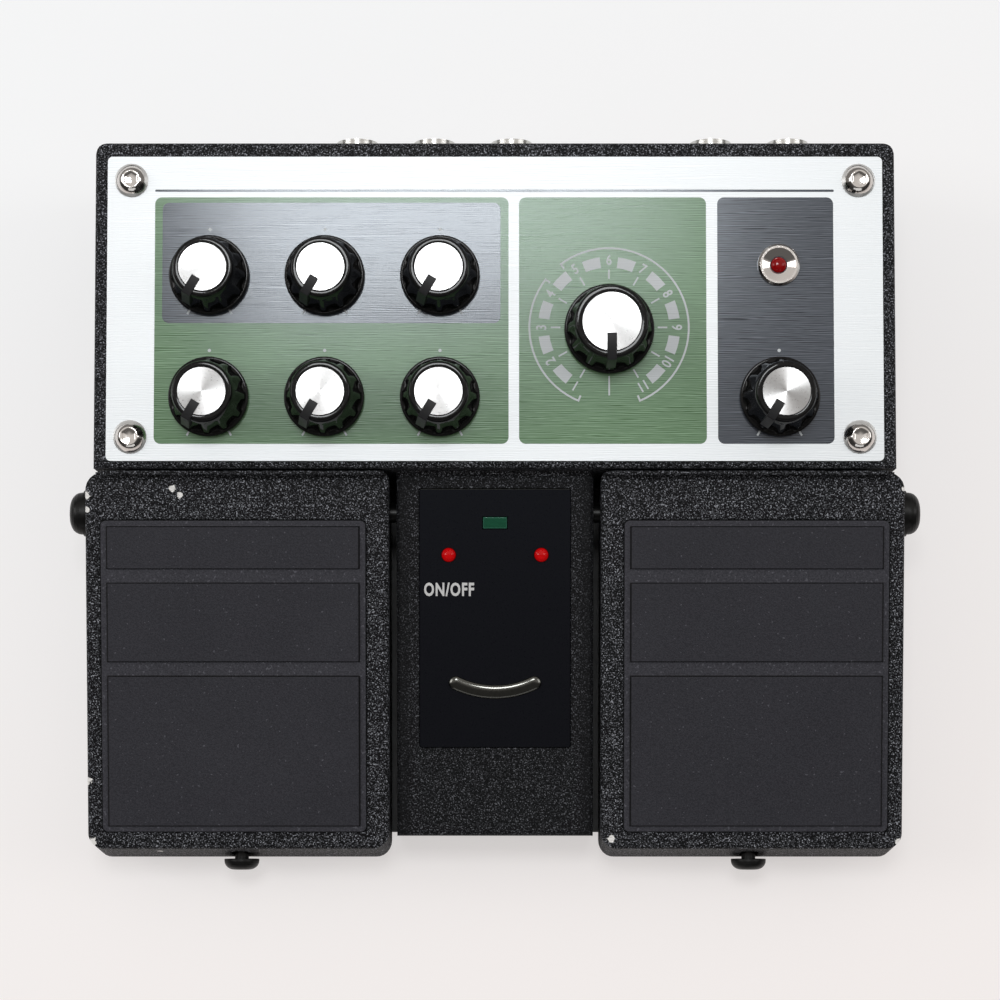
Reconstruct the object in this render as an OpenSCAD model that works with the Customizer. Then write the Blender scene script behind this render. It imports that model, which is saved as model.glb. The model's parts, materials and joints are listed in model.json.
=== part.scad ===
// Twin-pedal delay unit: a sloped control box with eight dials behind two hinged foot pedals.
// Millimetres, +X to the player's right, +Y to the jacks, +Z up, standing on its feet at Z = 0.

/* [Control box] */
// Width of the control box
box_w = 168.2; // [160:0.1:171]
// Depth of the control box, front wall to rear wall
box_d = 68.5; // [66:0.1:78]
// Height of the deck's rear edge above the floor
deck_rear_z = 44.4; // [43:0.1:50]
// Slope of the deck, falling to the front, in degrees
deck_tilt = 4; // [2:0.5:6]
// Wall thickness of the casting
wall = 2.5; // [2:0.1:3.2]
// Thickness of the deck
deck_t = 3; // [2.4:0.1:3.6]
// Radius of the box's upright rear corners
box_corner_r = 3; // [1.5:0.1:5]
// Radius along the casting's upper edges
edge_r = 1.2; // [0.5:0.1:1.8]

/* [Base] */
// Height of the rubber feet
foot_h = 2.8; // [2.4:0.1:5]
// Diameter of the rubber feet
foot_d = 14; // [10:0.5:18]
// Distance of the feet from the base plate's edges
foot_inset = 13; // [11:0.5:20]
// Thickness of the base plate
base_t = 1.2; // [0.8:0.1:1.6]
// Set-back of the base plate inside the casting's outline
base_inset = 0.6; // [0.3:0.1:1.2]
// Corner radius of the base plate
base_corner_r = 2; // [1:0.5:4]

/* [Foot pedals] */
// Width over both pedals
body_w = 173; // [172:0.1:180]
// Length of a pedal's top, along its slope
pedal_l = 80; // [76:0.1:86]
// Slope of the pedals, falling to the front, in degrees
pedal_tilt = 10; // [9:0.5:11]
// Height of the pedals' rear edge above the floor
pedal_rear_z = 35.6; // [35:0.1:37]
// Gap between the control box and a pedal's rear edge
pedal_gap = 0.4; // [0.3:0.1:1.5]
// Thickness of a pedal's top
pedal_t = 3; // [2.6:0.1:3.4]
// Depth of a pedal's skirt, square to its top
skirt_h = 13; // [12.5:0.1:13.4]
// Thickness of a pedal's skirt
skirt_t = 2.5; // [2:0.1:3]
// How far the front skirt's foot stands out beyond its top edge
nose_out = 4.4; // [3.5:0.1:5.5]
// Depth of the lip along a pedal's rear edge
rear_lip_h = 6; // [5:0.1:7]
// Radius of a pedal's front corners, seen from above
pedal_front_r = 3.5; // [2:0.1:5]
// Radius of a pedal's outer rear corner, seen from above
pedal_rear_r = 4; // [2:0.1:5]
// Radius of a pedal's rear corner beside the console, seen from above
pedal_inner_r = 1.2; // [0.6:0.1:2.5]
// Radius along a pedal's upper edges
pedal_edge_r = 1; // [0.6:0.1:2]
// Height of the brow along a pedal's rear edge
brow_h = 2.6; // [2.2:0.1:3]
// Thickness of the brow at its top
brow_t = 0.9; // [0.7:0.1:1.4]
// Radius of the hollow in front of the brow
brow_r = 1.6; // [1:0.1:2]
// Radius along the brow's top
brow_top_r = 0.3; // [0.2:0.05:0.4]
// How far a pedal turns when it is pressed, in degrees
pedal_press = 2.5; // [1.5:0.1:2.8]

/* [Rubber pads] */
// Bare rim of the pedal outside the pad
pad_rim_out = 3.25; // [2:0.05:6]
// Bare rim of the pedal on the console side of the pad
pad_rim_in = 4.8; // [2:0.1:8]
// Distance of the pad from the pedal's rear edge
pad_from_rear = 10.1; // [8:0.1:14]
// Length of a pad along the slope
pad_l = 66.3; // [58:0.1:67]
// Thickness of a pad at its border and grooves
pad_t = 1.2; // [1:0.1:2]
// Depth of the pedal's recess for the pad
pad_recess = 0.6; // [0.3:0.1:1]
// Height of a pad's panels above its border
pad_rise = 0.6; // [0.3:0.1:1.2]
// Width of a pad's border around its panels
pad_border = 1.4; // [0.8:0.1:3]
// Corner radius of a pad
pad_corner_r = 1.2; // [0.5:0.1:3]
// Width of the grooves between a pad's panels
pad_groove_w = 3.1; // [1.5:0.1:5]
// Length of a pad's rear panel
pad_rear_panel_l = 8.8; // [5:0.1:14]
// Length of a pad's middle panel
pad_mid_panel_l = 16.6; // [10:0.1:24]

/* [Console] */
// Width of the console between the pedals
console_w = 41.7; // [40:0.1:44]
// Gap between the console and each pedal
console_gap = 1.55; // [1.2:0.05:2.2]
// Depth of the console's top below the pedals' tops
console_drop = 1.6; // [1.4:0.1:2.6]
// Radius of the hollow where the console meets the control box
console_hollow_r = 2; // [1:0.1:2.4]
// Thickness of the console's top
console_t = 2.5; // [2:0.1:3]
// Clearance between a pedal's front skirt and the casting behind it
front_gap = 1.6; // [1.4:0.1:2.4]
// Width of the console's name plate
name_plate_w = 32; // [28:0.1:35]
// Length of the name plate along the slope
name_plate_l = 55; // [52:0.1:60]
// Distance of the name plate from the pedals' rear edge
name_plate_from_rear = 3.6; // [3:0.1:6]
// Thickness of the name plate
name_plate_t = 1; // [0.8:0.1:1.4]
// Depth of the console's recess for the name plate
name_plate_recess = 0.8; // [0.4:0.1:1]
// Corner radius of the name plate
name_plate_corner_r = 0.6; // [0.3:0.1:2]
// Length of the curved ridge on the name plate
ridge_l = 19.2; // [14:0.1:24]
// Drop of the ridge's middle below its ends
ridge_sag = 2.2; // [1.2:0.1:3]
// Width of the ridge
ridge_w = 2.3; // [1.6:0.1:3]
// Height of the ridge
ridge_h = 0.7; // [0.4:0.1:1]
// Distance of the ridge's middle from the pedals' rear edge
ridge_from_rear = 47; // [42:0.1:50]

/* [Pedal pivots] */
// Distance of the pivot from the pedal's rear edge, along the slope
pivot_from_rear = 9.2; // [8.6:0.1:10.5]
// Depth of the pivot below the pedal's top
pivot_depth = 7.6; // [7.2:0.1:8]
// Diameter of the pivot shanks and pins
pivot_d = 4; // [3:0.1:4.4]
// Thickness of the casting's upright ears
ear_t = 6; // [4.5:0.1:8]
// Diameter of the pivot screws' heads
pivot_head_d = 9; // [7:0.1:9.6]
// Height of the pivot screws' heads
pivot_head_h = 2.9; // [2:0.1:3.5]
// Thickness of the pivot washers
pivot_washer_t = 1; // [0.6:0.1:1.5]
// Diameter of the pivot washers
pivot_washer_d = 9.8; // [9.6:0.1:10.6]
// Length of the inner pins inside the console
pin_seat_l = 6; // [5:0.1:7]
// Diameter of the bosses around the inner pins
pin_boss_d = 7.6; // [6.4:0.1:8.4]

/* [Pedal stops] */
// Distance of the front screws from the centre plane
stop_x = 54.7; // [45:0.1:62]
// Height of the front screws above the floor
stop_z = 12; // [11.6:0.1:12.6]
// Diameter of the front screws' shanks
stop_d = 3; // [2.5:0.1:3.2]
// Diameter of the front screws' heads
stop_head_d = 7.5; // [6:0.1:8]
// Height of the front screws' heads
stop_head_h = 2.3; // [1.6:0.1:3]
// Length of the front screws inside the casting
stop_seat_l = 7; // [5:0.1:10]
// Diameter of the bosses behind the front screws
stop_boss_d = 6.4; // [5.6:0.1:6.8]

/* [Springs and foot switches] */
// Height of the trays under the pedals
tray_z = 13; // [12.6:0.1:13.4]
// Thickness of the trays
tray_t = 2.5; // [2:0.1:3]
// Distance of the springs in front of the pivot
spring_arm = 24.6; // [20:0.1:28]
// Outer diameter of the springs
spring_d = 12; // [10:0.1:14]
// Diameter of the spring wire
spring_wire_d = 1.3; // [1:0.1:1.5]
// Number of turns in a spring
spring_turns = 5; // [4:1:5]
// Diameter of the pegs inside the springs
spring_peg_d = 6.4; // [4:0.1:6.6]
// Height of the pegs inside the springs
spring_peg_h = 3; // [2:0.1:5]
// Width of the spring seats around the springs
spring_seat_edge = 1; // [0.6:0.1:1.5]
// Height of the spring seats under the pedals
spring_seat_t = 0.8; // [0.4:0.1:1.2]
// Distance of the foot switches behind the casting's front wall
switch_from_front = 19.8; // [17.5:0.1:23]
// Width of the foot switch housings
switch_w = 14; // [11:0.1:18]
// Height of the foot switch housings
switch_h = 5; // [4:0.1:5.4]
// Diameter of the foot switch plungers
plunger_d = 6; // [4:0.1:7]

/* [Control plate] */
// Thickness of the control plate
plate_t = 1.2; // [1:0.1:1.6]
// Depth of the deck's recess for the control plate
plate_recess = 0.8; // [0.5:0.1:0.9]
// Deck rim left at each side of the control plate
plate_rim_side = 2.75; // [2:0.05:4]
// Deck rim left behind the control plate
plate_rim_rear = 3.2; // [2.4:0.1:4]
// Deck rim left in front of the control plate
plate_rim_front = 1.4; // [1.3:0.1:2.5]
// Corner radius of the control plate
plate_corner_r = 1; // [0.5:0.1:3]
// Distance of the plate's screws from its edges
plate_screw_inset = 5.05; // [4.6:0.05:6]
// Diameter of the plate screws' heads
plate_screw_head_d = 7; // [6:0.1:8]
// Height of the plate screws' heads
plate_screw_head_h = 2.2; // [1.6:0.1:2.6]
// Diameter of the plate screws' shanks
plate_screw_d = 4; // [3:0.1:4.4]
// Length of the plate screws under their heads
plate_screw_l = 9; // [7:0.1:10]
// Diameter of the bosses under the deck for the plate screws
plate_boss_d = 8; // [7:0.1:9]

/* [Dials] */
// Distance of the first column of dials from the control plate's left edge
dial_from_side = 21.55; // [20.5:0.05:23]
// Distance between the columns of dials
dial_pitch_x = 24.15; // [22:0.05:25]
// Distance of the rear row of dials from the deck's rear edge
dial_rear_v = 28.4; // [27:0.1:31]
// Distance between the rows of dials
dial_pitch_v = 25.5; // [22:0.1:26]
// Distance between the mode dial and the input dial, across the plate
mode_to_input = 35.6; // [33:0.1:37]
// Distance of the mode dial from the deck's rear edge
mode_v = 39.7; // [37:0.1:43]
// Distance of the input dial and the peak light from the plate's right edge
input_from_side = 21.85; // [20.5:0.05:25]
// Turn of the dials' pointers from straight forward, in degrees
dial_rest = 31; // [0:1:45]
// Width of the potentiometers
pot_w = 14; // [10:0.1:17]
// Height of the potentiometers under the deck
pot_h = 6.5; // [5:0.1:7.5]
// Diameter of the mode switch
mode_switch_d = 23; // [16:0.1:25]
// Diameter of the threaded bushings
bushing_d = 7; // [6.8:0.1:8]
// Height of the bushings above their nuts
bushing_out = 0.8; // [0.4:0.1:1.2]
// Diameter of the shafts
shaft_d = 6; // [5:0.1:6.2]
// Depth of the flat on the shafts
shaft_flat = 1.2; // [0.6:0.1:1.8]
// Depth of the shafts inside the potentiometers
shaft_seat = 2.5; // [1.5:0.1:4]
// Length of the shafts inside the knobs
shaft_grip = 6; // [4:0.1:7]
// Width of the bushing nuts across their flats
bushing_nut_w = 10; // [9.6:0.1:10.6]
// Height of the bushing nuts
bushing_nut_h = 2; // [1.4:0.1:2.4]

/* [Knobs] */
// Gap between the knobs and the control plate
knob_lift = 0.6; // [0.4:0.1:1.2]
// Number of flutes around a knob
knob_flutes = 12; // [8:1:12]
// Depth of the flutes
flute_depth = 0.6; // [0.3:0.05:0.6]
// Radius of the flutes
flute_r = 2.2; // [1.6:0.1:2.3]
// Distance from a knob's top to the ends of its flutes
flute_from_top = 2; // [1.4:0.1:3]
// Height of the plain ring at a knob's foot
knob_ring_h = 1.5; // [1:0.1:2.2]
// Width of the step between the ring and the flutes
knob_ring_step = 0.45; // [0.2:0.05:0.6]
// Diameter of the dial knobs at the foot
knob_d = 16.7; // [16.2:0.1:18]
// Diameter of the dial knobs at the top
knob_top_d = 12.3; // [11.8:0.1:13.4]
// Diameter of the dial knobs' metal caps
knob_cap_d = 9.8; // [8:0.1:10.4]
// Height of the dial knobs
knob_h = 12.9; // [12:0.1:14]
// Diameter of the mode knob at the foot
mode_knob_d = 18.8; // [18:0.1:21]
// Diameter of the mode knob at the top
mode_knob_top_d = 15; // [14.4:0.1:16.4]
// Diameter of the mode knob's metal cap
mode_knob_cap_d = 12; // [10:0.1:12.6]
// Height of the mode knob
mode_knob_h = 13.7; // [12:0.1:15]
// Thickness of the metal caps
cap_t = 0.7; // [0.5:0.1:1]
// Depth of the knobs' recesses for the caps
cap_recess = 0.5; // [0.3:0.1:0.8]
// Width of the pointer bar
pointer_w = 1.9; // [1.2:0.1:2.6]
// Start of the pointer bar, from the knob's axis
pointer_start = 2.4; // [1.6:0.1:3.4]
// Height of the pointer bar above the knob's top
pointer_rise = 0.4; // [0.2:0.1:0.7]

/* [Lights] */
// Distance of the peak light from the deck's rear edge
peak_v = 26.1; // [22:0.1:30]
// Diameter of the peak light's bezel
bezel_d = 8.8; // [8:0.1:10]
// Height of the bezel's rim
bezel_h = 1.1; // [0.6:0.1:1.6]
// Diameter of the bezel's stem
bezel_stem_d = 6.4; // [5.6:0.1:7]
// Diameter of the peak light
peak_led_d = 3.6; // [3:0.1:4.2]
// Diameter of the two status lights
status_led_d = 3.1; // [2.5:0.1:4]
// Distance of the status lights from the centre plane
status_led_x = 9.8; // [7:0.1:10]
// Distance of the status lights from the pedals' rear edge
status_led_v = 17.6; // [16:0.1:22]
// Height of the status lights above the name plate
status_led_out = 1; // [0.5:0.1:2]
// Width of the power window
power_w = 5.1; // [3:0.1:7]
// Length of the power window along the slope
power_l = 2.45; // [1.6:0.05:3]
// Distance of the power window from the pedals' rear edge
power_v = 10.8; // [9:0.1:13]
// Distance of the lamp board's screw in front of the status lights
lamp_post_arm = 10; // [9:0.1:13]
// Width of the lamp board left behind the power window
lamp_board_edge = 2; // [1:0.1:3]
// Depth of the console's lamp board below the console's top
lamp_board_depth = 9; // [7.5:0.1:10]

/* [Jacks] */
// Place of the first of the three left-hand jacks, from the centre plane
jack_left_x = -30.2; // [-34:0.1:-28]
// Place of the first of the two right-hand jacks, from the centre plane
jack_right_x = 47.2; // [44:0.1:50]
// Distance between neighbouring jacks
jack_pitch = 16.9; // [16.5:0.1:18]
// Height of the jacks above the floor
jack_z = 22; // [21.4:0.1:23]
// Diameter of the jack bores
jack_bore_d = 6.5; // [6.45:0.01:6.8]
// Depth of the jack bores
jack_bore_l = 30; // [28:0.1:33]
// Diameter of the jack bushes
jack_bush_d = 9; // [8.4:0.1:9.6]
// How far the jack bushes stand out of the rear wall
jack_out = 5.6; // [4.5:0.1:7]
// Width of the jack bodies
jack_w = 15.4; // [13:0.1:16]
// Height of the jack bodies
jack_h = 14; // [12:0.1:15]
// Depth of the jack bodies behind the wall
jack_d = 29; // [28:0.1:34]
// Width of the jack nuts across their flats
jack_nut_w = 12; // [11:0.1:14]
// Height of the jack nuts
jack_nut_h = 2.5; // [2:0.1:3]
// Thickness of the jack washers
jack_washer_t = 0.8; // [0.5:0.1:1.2]
// Diameter of the jack washers
jack_washer_d = 14; // [13:0.1:15]
// Distance of the power inlet from the casting's left side
inlet_from_side = 26.1; // [20:0.1:34]
// Diameter of the power inlet's bore
inlet_bore_d = 6.2; // [5.8:0.1:6.6]
// Diameter of the power inlet's centre pin
inlet_pin_d = 2.1; // [1.8:0.1:2.6]
// Diameter of the power inlet's barrel
inlet_d = 10; // [9:0.1:11]
// Depth of the power inlet's body behind the wall
inlet_depth = 13; // [11:0.1:16]

/* [Boards and small screws] */
// Thickness of the circuit boards
board_t = 1.6; // [1:0.1:2]
// Gap left around the circuit boards
board_gap = 1; // [0.6:0.1:2]
// Diameter of the small screws
screw_d = 2.6; // [2:0.1:3]
// Diameter of the small screws' heads
screw_head_d = 5.4; // [4.6:0.1:6]
// Height of the small screws' heads
screw_head_h = 1.6; // [1.2:0.1:1.8]
// Length of the small screws under their heads
screw_l = 6; // [5:0.1:7]
// Diameter of the bosses for the small screws
screw_boss_d = 7; // [6:0.1:8]
// Metal of the lugs around and beyond the small screws
lug_edge = 1; // [0.6:0.1:1.6]

/* [Clearances] */
// Radial clearance of a shaft or pivot that turns in its bore
run_fit = 0.05; // [0.03:0.01:0.08]
// Radial clearance of a screw, bush or cap in its hole
seat_fit = 0.05; // [0.03:0.01:0.1]
// Clearance of a plate or pad inside its recess
lay_fit = 0.15; // [0.1:0.05:0.3]
// Clearance between a pedal's skirt and the casting inside it
skirt_gap = 0.8; // [0.6:0.1:1.2]
// Side play between a pedal and its outer washer
side_play = 0.2; // [0.1:0.05:0.4]
// Clearance that stays between parts that pass each other
pass_gap = 0.4; // [0.3:0.05:0.6]

/* [Hidden] */
$fn = 64;
// Steps in a rounded corner
arc_steps = 6;
// Rings to a turn of spring and sides to its wire
spring_rings = 16;
spring_sides = 6;
// Height of the flutes' lowest point above a knob's ring
flute_clear = 0.05;
// Wall at the blind end of a pin's boss
pin_end_t = 1.5;
// Overlap of cutting shapes past the faces that they cut
cut = 1;
// Overlap of shapes that are fused
fuse = 0.5;
// Depth of a hollow's tangent lines inside the faces that they leave
sink = 0.05;

deck_l = box_d / cos(deck_tilt);
nose_draft = atan(nose_out / skirt_h);
pedal_reach = (pedal_l + nose_out) * cos(pedal_tilt) - skirt_h * sin(pedal_tilt);
stop_clear = 0.3;
overall_d = jack_out + box_d + pedal_gap + pedal_reach + stop_clear + stop_head_h;
rear_y = overall_d / 2 - jack_out;
box_front_y = rear_y - box_d;
pedal_rear_y = box_front_y - pedal_gap;
nose_y = pedal_rear_y - pedal_reach;
base_z = foot_h + base_t;
deck_front_z = deck_rear_z - box_d * tan(deck_tilt);

// World place of a point v along the pedal's slope and h above its top
function pedal_y(v, h) = pedal_rear_y - v * cos(pedal_tilt) - h * sin(pedal_tilt);
function pedal_z(v, h) = pedal_rear_z - v * sin(pedal_tilt) + h * cos(pedal_tilt);
// Height of a plane parallel to the pedal's top, h above it, at the depth y
function pedal_plane_z(y, h) = pedal_rear_z - (pedal_rear_y - y) * tan(pedal_tilt) + h / cos(pedal_tilt);

pedal_in_x = console_w / 2 + console_gap;
pedal_out_x = body_w / 2;
pivot_y = pedal_y(pivot_from_rear, -pivot_depth);
pivot_z = pedal_z(pivot_from_rear, -pivot_depth);
ear_r = pivot_depth - pedal_t - pass_gap;
tray_in_x = pedal_in_x + skirt_t + skirt_gap;
tray_out_x = pedal_out_x - skirt_t - skirt_gap;
// Inner face of the front skirt at the height of the tray
skirt_in_v = pedal_l - skirt_t;
skirt_lean = nose_out / skirt_h;
tray_h = (tray_z - pedal_rear_z + skirt_in_v * sin(pedal_tilt))
    / (skirt_lean * sin(pedal_tilt) + cos(pedal_tilt));
front_y = pedal_y(skirt_in_v - tray_h * skirt_lean, tray_h) + front_gap;
pedal_mid_x = (pedal_in_x + pedal_out_x) / 2;

spring_y = pivot_y - spring_arm;
spring_seat_r = spring_d / 2 + spring_seat_edge;
spring_top_z = pedal_plane_z(spring_y - spring_seat_r, -pedal_t) - spring_seat_t;
switch_y = front_y + switch_from_front;
switch_arm = pivot_y - switch_y;
switch_travel = switch_arm * sin(pedal_press);
plunger_top_z = tray_z + switch_h + switch_travel + pass_gap;
striker_z = plunger_top_z + pass_gap;
plunger_foot_z = tray_z + switch_travel + pass_gap;

plate_w = box_w - 2 * plate_rim_side;
plate_l = deck_l - plate_rim_rear - plate_rim_front;
plate_top = plate_t - plate_recess;
plate_screw_x = plate_w / 2 - plate_screw_inset;
plate_screw_vs = [plate_rim_rear + plate_screw_inset, plate_rim_rear + plate_l - plate_screw_inset];
plate_boss_h = plate_screw_l;

dial_front_v = dial_rear_v + dial_pitch_v;
dial_first_x = dial_from_side - plate_w / 2;
input_x = plate_w / 2 - input_from_side;
mode_x = input_x - mode_to_input;
DIALS = [
    ["bass", dial_first_x, dial_rear_v],
    ["treble", dial_first_x + dial_pitch_x, dial_rear_v],
    ["reverb", dial_first_x + 2 * dial_pitch_x, dial_rear_v],
    ["rate", dial_first_x, dial_front_v],
    ["intensity", dial_first_x + dial_pitch_x, dial_front_v],
    ["echo", dial_first_x + 2 * dial_pitch_x, dial_front_v],
    ["input", input_x, dial_front_v]
];
MODE = ["mode", mode_x, mode_v];
bushing_top = plate_top + bushing_nut_h + bushing_out;
knob_foot = plate_top + knob_lift;
knob_hollow = bushing_top + pass_gap - knob_foot;
knob_bore_top = knob_hollow + shaft_grip + pass_gap;
nut_r = bushing_nut_w / 2 / cos(30);
hollow_r = nut_r + pass_gap;
shaft_top = knob_foot + knob_hollow + shaft_grip;

JACK_XS = concat(
    [for (i = [0:2]) jack_left_x + i * jack_pitch],
    [for (i = [0:1]) jack_right_x + i * jack_pitch]
);
inlet_x = inlet_from_side - box_w / 2;
main_board_z = jack_z - jack_h / 2;
base_boss_top = main_board_z - board_t - pass_gap;
screw_seat = screw_boss_d / 2 - fuse;
lug_w = screw_boss_d + lug_edge;
lug_h = screw_l + lug_edge;
lug_x = box_w / 2 - wall - screw_boss_d / 2;
lug_y = box_front_y + wall + screw_boss_d + lug_w / 2 + board_gap;
BASE_SCREWS = [
    [box_w / 2 - wall - screw_seat, rear_y - wall - screw_seat],
    [box_w / 2 - wall - screw_seat, box_front_y + wall + screw_seat],
    [tray_out_x - wall - screw_seat, front_y + wall + screw_seat],
    [tray_in_x + wall + screw_seat, front_y + wall + screw_seat]
];
base_x = tray_out_x - base_inset;
base_rear_x = box_w / 2 - base_inset;
base_front_y = front_y + base_inset;
base_rear_y = rear_y - base_inset;
FEET = [
    [base_x - foot_inset, base_front_y + foot_inset],
    [base_rear_x - foot_inset, base_rear_y - foot_inset]
];

console_h = -console_drop;
name_plate_top = console_h + name_plate_t - name_plate_recess;
lamp_board_h = console_h - lamp_board_depth;
lamp_board_w = 2 * status_led_x + status_led_d / 2 + board_gap;
lamp_board_v0 = power_v - power_l / 2 - lamp_board_edge;
lamp_post_v = status_led_v + lamp_post_arm;
lamp_board_v1 = lamp_post_v + screw_boss_d / 2 + board_gap;

PAINT = "#1d1d1f";
RUBBER = "#2b2b2e";
GLOSS = "#0d0d0e";
BRIGHT = "#d8dadd";
STEEL = "#a9adb2";
BOARD = "#2f5a3a";

// Outlines with rounded corners

function unit(v) = v / norm(v);

function turned(v, a) = [v.x * cos(a) - v.y * sin(a), v.x * sin(a) + v.y * cos(a)];

// Points of one corner at p, with an arc of radius r between its two sides
function corner(before, p, after, r) =
    r == 0 ? [p] :
    let (
        a = unit(before - p),
        b = unit(after - p),
        half = acos(a * b) / 2,
        centre = p + unit(a + b) * r / sin(half),
        from = p + a * r / tan(half) - centre,
        to = p + b * r / tan(half) - centre,
        sweep = sign(cross(from, to)) * (180 - 2 * half)
    )
    [for (i = [0:arc_steps]) centre + turned(from, sweep * i / arc_steps)];

function rounded(points, radii) =
    let (n = len(points))
    [for (i = [0:n - 1])
        each corner(points[(i + n - 1) % n], points[i], points[(i + 1) % n], radii[i])];

function box_points(x0, x1, y0, y1) = [[x0, y0], [x1, y0], [x1, y1], [x0, y1]];

function even(r) = [r, r, r, r];

// Half profile of a domed head on a short upright rim, with a flat of radius flat_r on top
function dome_points(d, h, flat_r) = concat(
    [[0, 0], [d / 2, 0]],
    [for (i = [0:arc_steps])
        let (a = 90 * i / arc_steps)
        [flat_r + (d / 2 - flat_r) * cos(a), h * (0.2 + 0.8 * sin(a))]],
    [[0, h]]
);

// Frames and directions

module on_deck(x = 0, v = 0, h = 0) {
    translate([0, rear_y, deck_rear_z])
        rotate([deck_tilt, 0, 0])
            translate([x, -v, h])
                children();
}

module on_pedal(x = 0, v = 0, h = 0) {
    translate([0, pedal_rear_y, pedal_rear_z])
        rotate([pedal_tilt, 0, 0])
            translate([x, -v, h])
                children();
}

module both_sides() {
    children();
    mirror([1, 0, 0]) children();
}

module facing_rear() {
    rotate([-90, 0, 0]) children();
}

module facing_front() {
    rotate([90, 0, 0]) children();
}

module facing_right() {
    rotate([0, 90, 0]) children();
}

// A side profile, drawn as depth and height, pulled from x0 to x1
module across(x0, x1) {
    rotate([90, 0, 90])
        translate([0, 0, x0])
            linear_extrude(x1 - x0)
                children();
}

// A cross section, drawn as width and height, pulled forward from v0 to v1
module forward(v0, v1) {
    translate([0, -v0, 0])
        rotate([90, 0, 0])
            linear_extrude(v1 - v0)
                children();
}

// Fasteners

module dome_screw(head_d, head_h, shank_d, shank_l, socket_w) {
    socket_d = socket_w / cos(30);
    difference() {
        union() {
            rotate_extrude() polygon(dome_points(head_d, head_h, socket_d * 0.55));
            translate([0, 0, -shank_l]) cylinder(d = shank_d, h = shank_l + fuse);
        }
        translate([0, 0, head_h / 3]) cylinder(d = socket_d, h = head_h, $fn = 6);
    }
}

module small_screw() {
    slot_w = screw_head_d / 6;
    slot_l = screw_head_d / 2;
    difference() {
        union() {
            cylinder(d = screw_head_d, h = screw_head_h);
            translate([0, 0, -screw_l]) cylinder(d = screw_d, h = screw_l + fuse);
        }
        for (a = [0, 90])
            rotate([0, 0, a])
                translate([-slot_l / 2, -slot_w / 2, screw_head_h / 2])
                    cube([slot_l, slot_w, screw_head_h]);
    }
}

module hex_nut(width, height, hole_d) {
    difference() {
        cylinder(d = width / cos(30), h = height, $fn = 6);
        translate([0, 0, -cut]) cylinder(d = hole_d, h = height + 2 * cut);
    }
}

module ring(outer_d, hole_d, height) {
    difference() {
        cylinder(d = outer_d, h = height);
        translate([0, 0, -cut]) cylinder(d = hole_d, h = height + 2 * cut);
    }
}

// Casting

module box_form() {
    reach = deck_rear_z / 2;
    intersection() {
        across(-box_w / 2 - cut, box_w / 2 + cut)
            polygon(rounded(
                [[box_front_y, base_z], [rear_y, base_z], [rear_y, deck_rear_z], [box_front_y, deck_front_z]],
                [0, 0, edge_r, edge_r]));
        linear_extrude(deck_rear_z + cut)
            polygon(rounded(
                box_points(-box_w / 2, box_w / 2, box_front_y - cut, rear_y),
                [0, 0, box_corner_r, box_corner_r]));
        on_deck()
            forward(-reach, deck_l + reach)
                polygon(rounded(
                    box_points(-box_w / 2, box_w / 2, -2 * deck_rear_z, 0),
                    [0, 0, edge_r, edge_r]));
    }
}

module box_cavity() {
    under = deck_t / cos(deck_tilt);
    slope = tan(deck_tilt);
    across(-box_w / 2 + wall, box_w / 2 - wall)
        polygon([
            [box_front_y + wall, base_z - cut],
            [rear_y - wall, base_z - cut],
            [rear_y - wall, deck_rear_z - wall * slope - under],
            [box_front_y + wall, deck_front_z + wall * slope - under]
        ]);
}

module console_form() {
    rear = box_front_y + wall / 2;
    reach = pedal_l / 4;
    intersection() {
        across(-console_w / 2 - cut, console_w / 2 + cut)
            polygon(rounded(
                [[front_y, base_z], [rear, base_z],
                 [rear, pedal_plane_z(rear, console_h)], [front_y, pedal_plane_z(front_y, console_h)]],
                [0, 0, 0, edge_r]));
        on_pedal(0, 0, console_h)
            forward(-reach, pedal_l + reach)
                polygon(rounded(
                    box_points(-console_w / 2, console_w / 2, -2 * pedal_rear_z, 0),
                    [0, 0, edge_r, edge_r]));
    }
}

// Hollow between the console's top and the control box's front wall
module console_hollow() {
    wall_y = box_front_y + sink;
    reach = 1.5 * console_hollow_r;
    foot_z = pedal_plane_z(wall_y, console_h - sink);
    front = wall_y - reach;
    front_z = pedal_plane_z(front, console_h - sink);
    half_w = console_w / 2 - edge_r - sink;
    across(-half_w, half_w)
        polygon(rounded(
            [[wall_y, foot_z + reach], [wall_y, foot_z], [front, front_z],
             [front, front_z - fuse], [box_front_y + wall / 2, foot_z - fuse],
             [box_front_y + wall / 2, foot_z + reach]],
            [0, console_hollow_r, 0, 0, 0, 0]));
}

module console_cavity() {
    rear = box_front_y + wall + cut;
    across(-console_w / 2 + wall, console_w / 2 - wall)
        polygon([
            [front_y + wall, base_z - cut],
            [rear, base_z - cut],
            [rear, pedal_plane_z(rear, console_h - console_t)],
            [front_y + wall, pedal_plane_z(front_y + wall, console_h - console_t)]
        ]);
}

module tray_form() {
    translate([0, 0, base_z])
        linear_extrude(tray_z - base_z)
            polygon(rounded(
                box_points(tray_in_x, tray_out_x, front_y, box_front_y + wall / 2),
                [edge_r, edge_r, 0, 0]));
}

module tray_cavity() {
    translate([tray_in_x + wall, front_y + wall, base_z - cut])
        cube([
            tray_out_x - tray_in_x - 2 * wall,
            box_front_y - front_y + cut,
            tray_z - tray_t - base_z + cut
        ]);
}

module pivot_ear() {
    translate([tray_out_x - ear_t, pivot_y, pivot_z])
        facing_right()
            cylinder(r = ear_r, h = ear_t);
    translate([tray_out_x - ear_t, pivot_y - ear_r, tray_z - fuse])
        cube([ear_t, 2 * ear_r, pivot_z - tray_z + fuse]);
}

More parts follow.
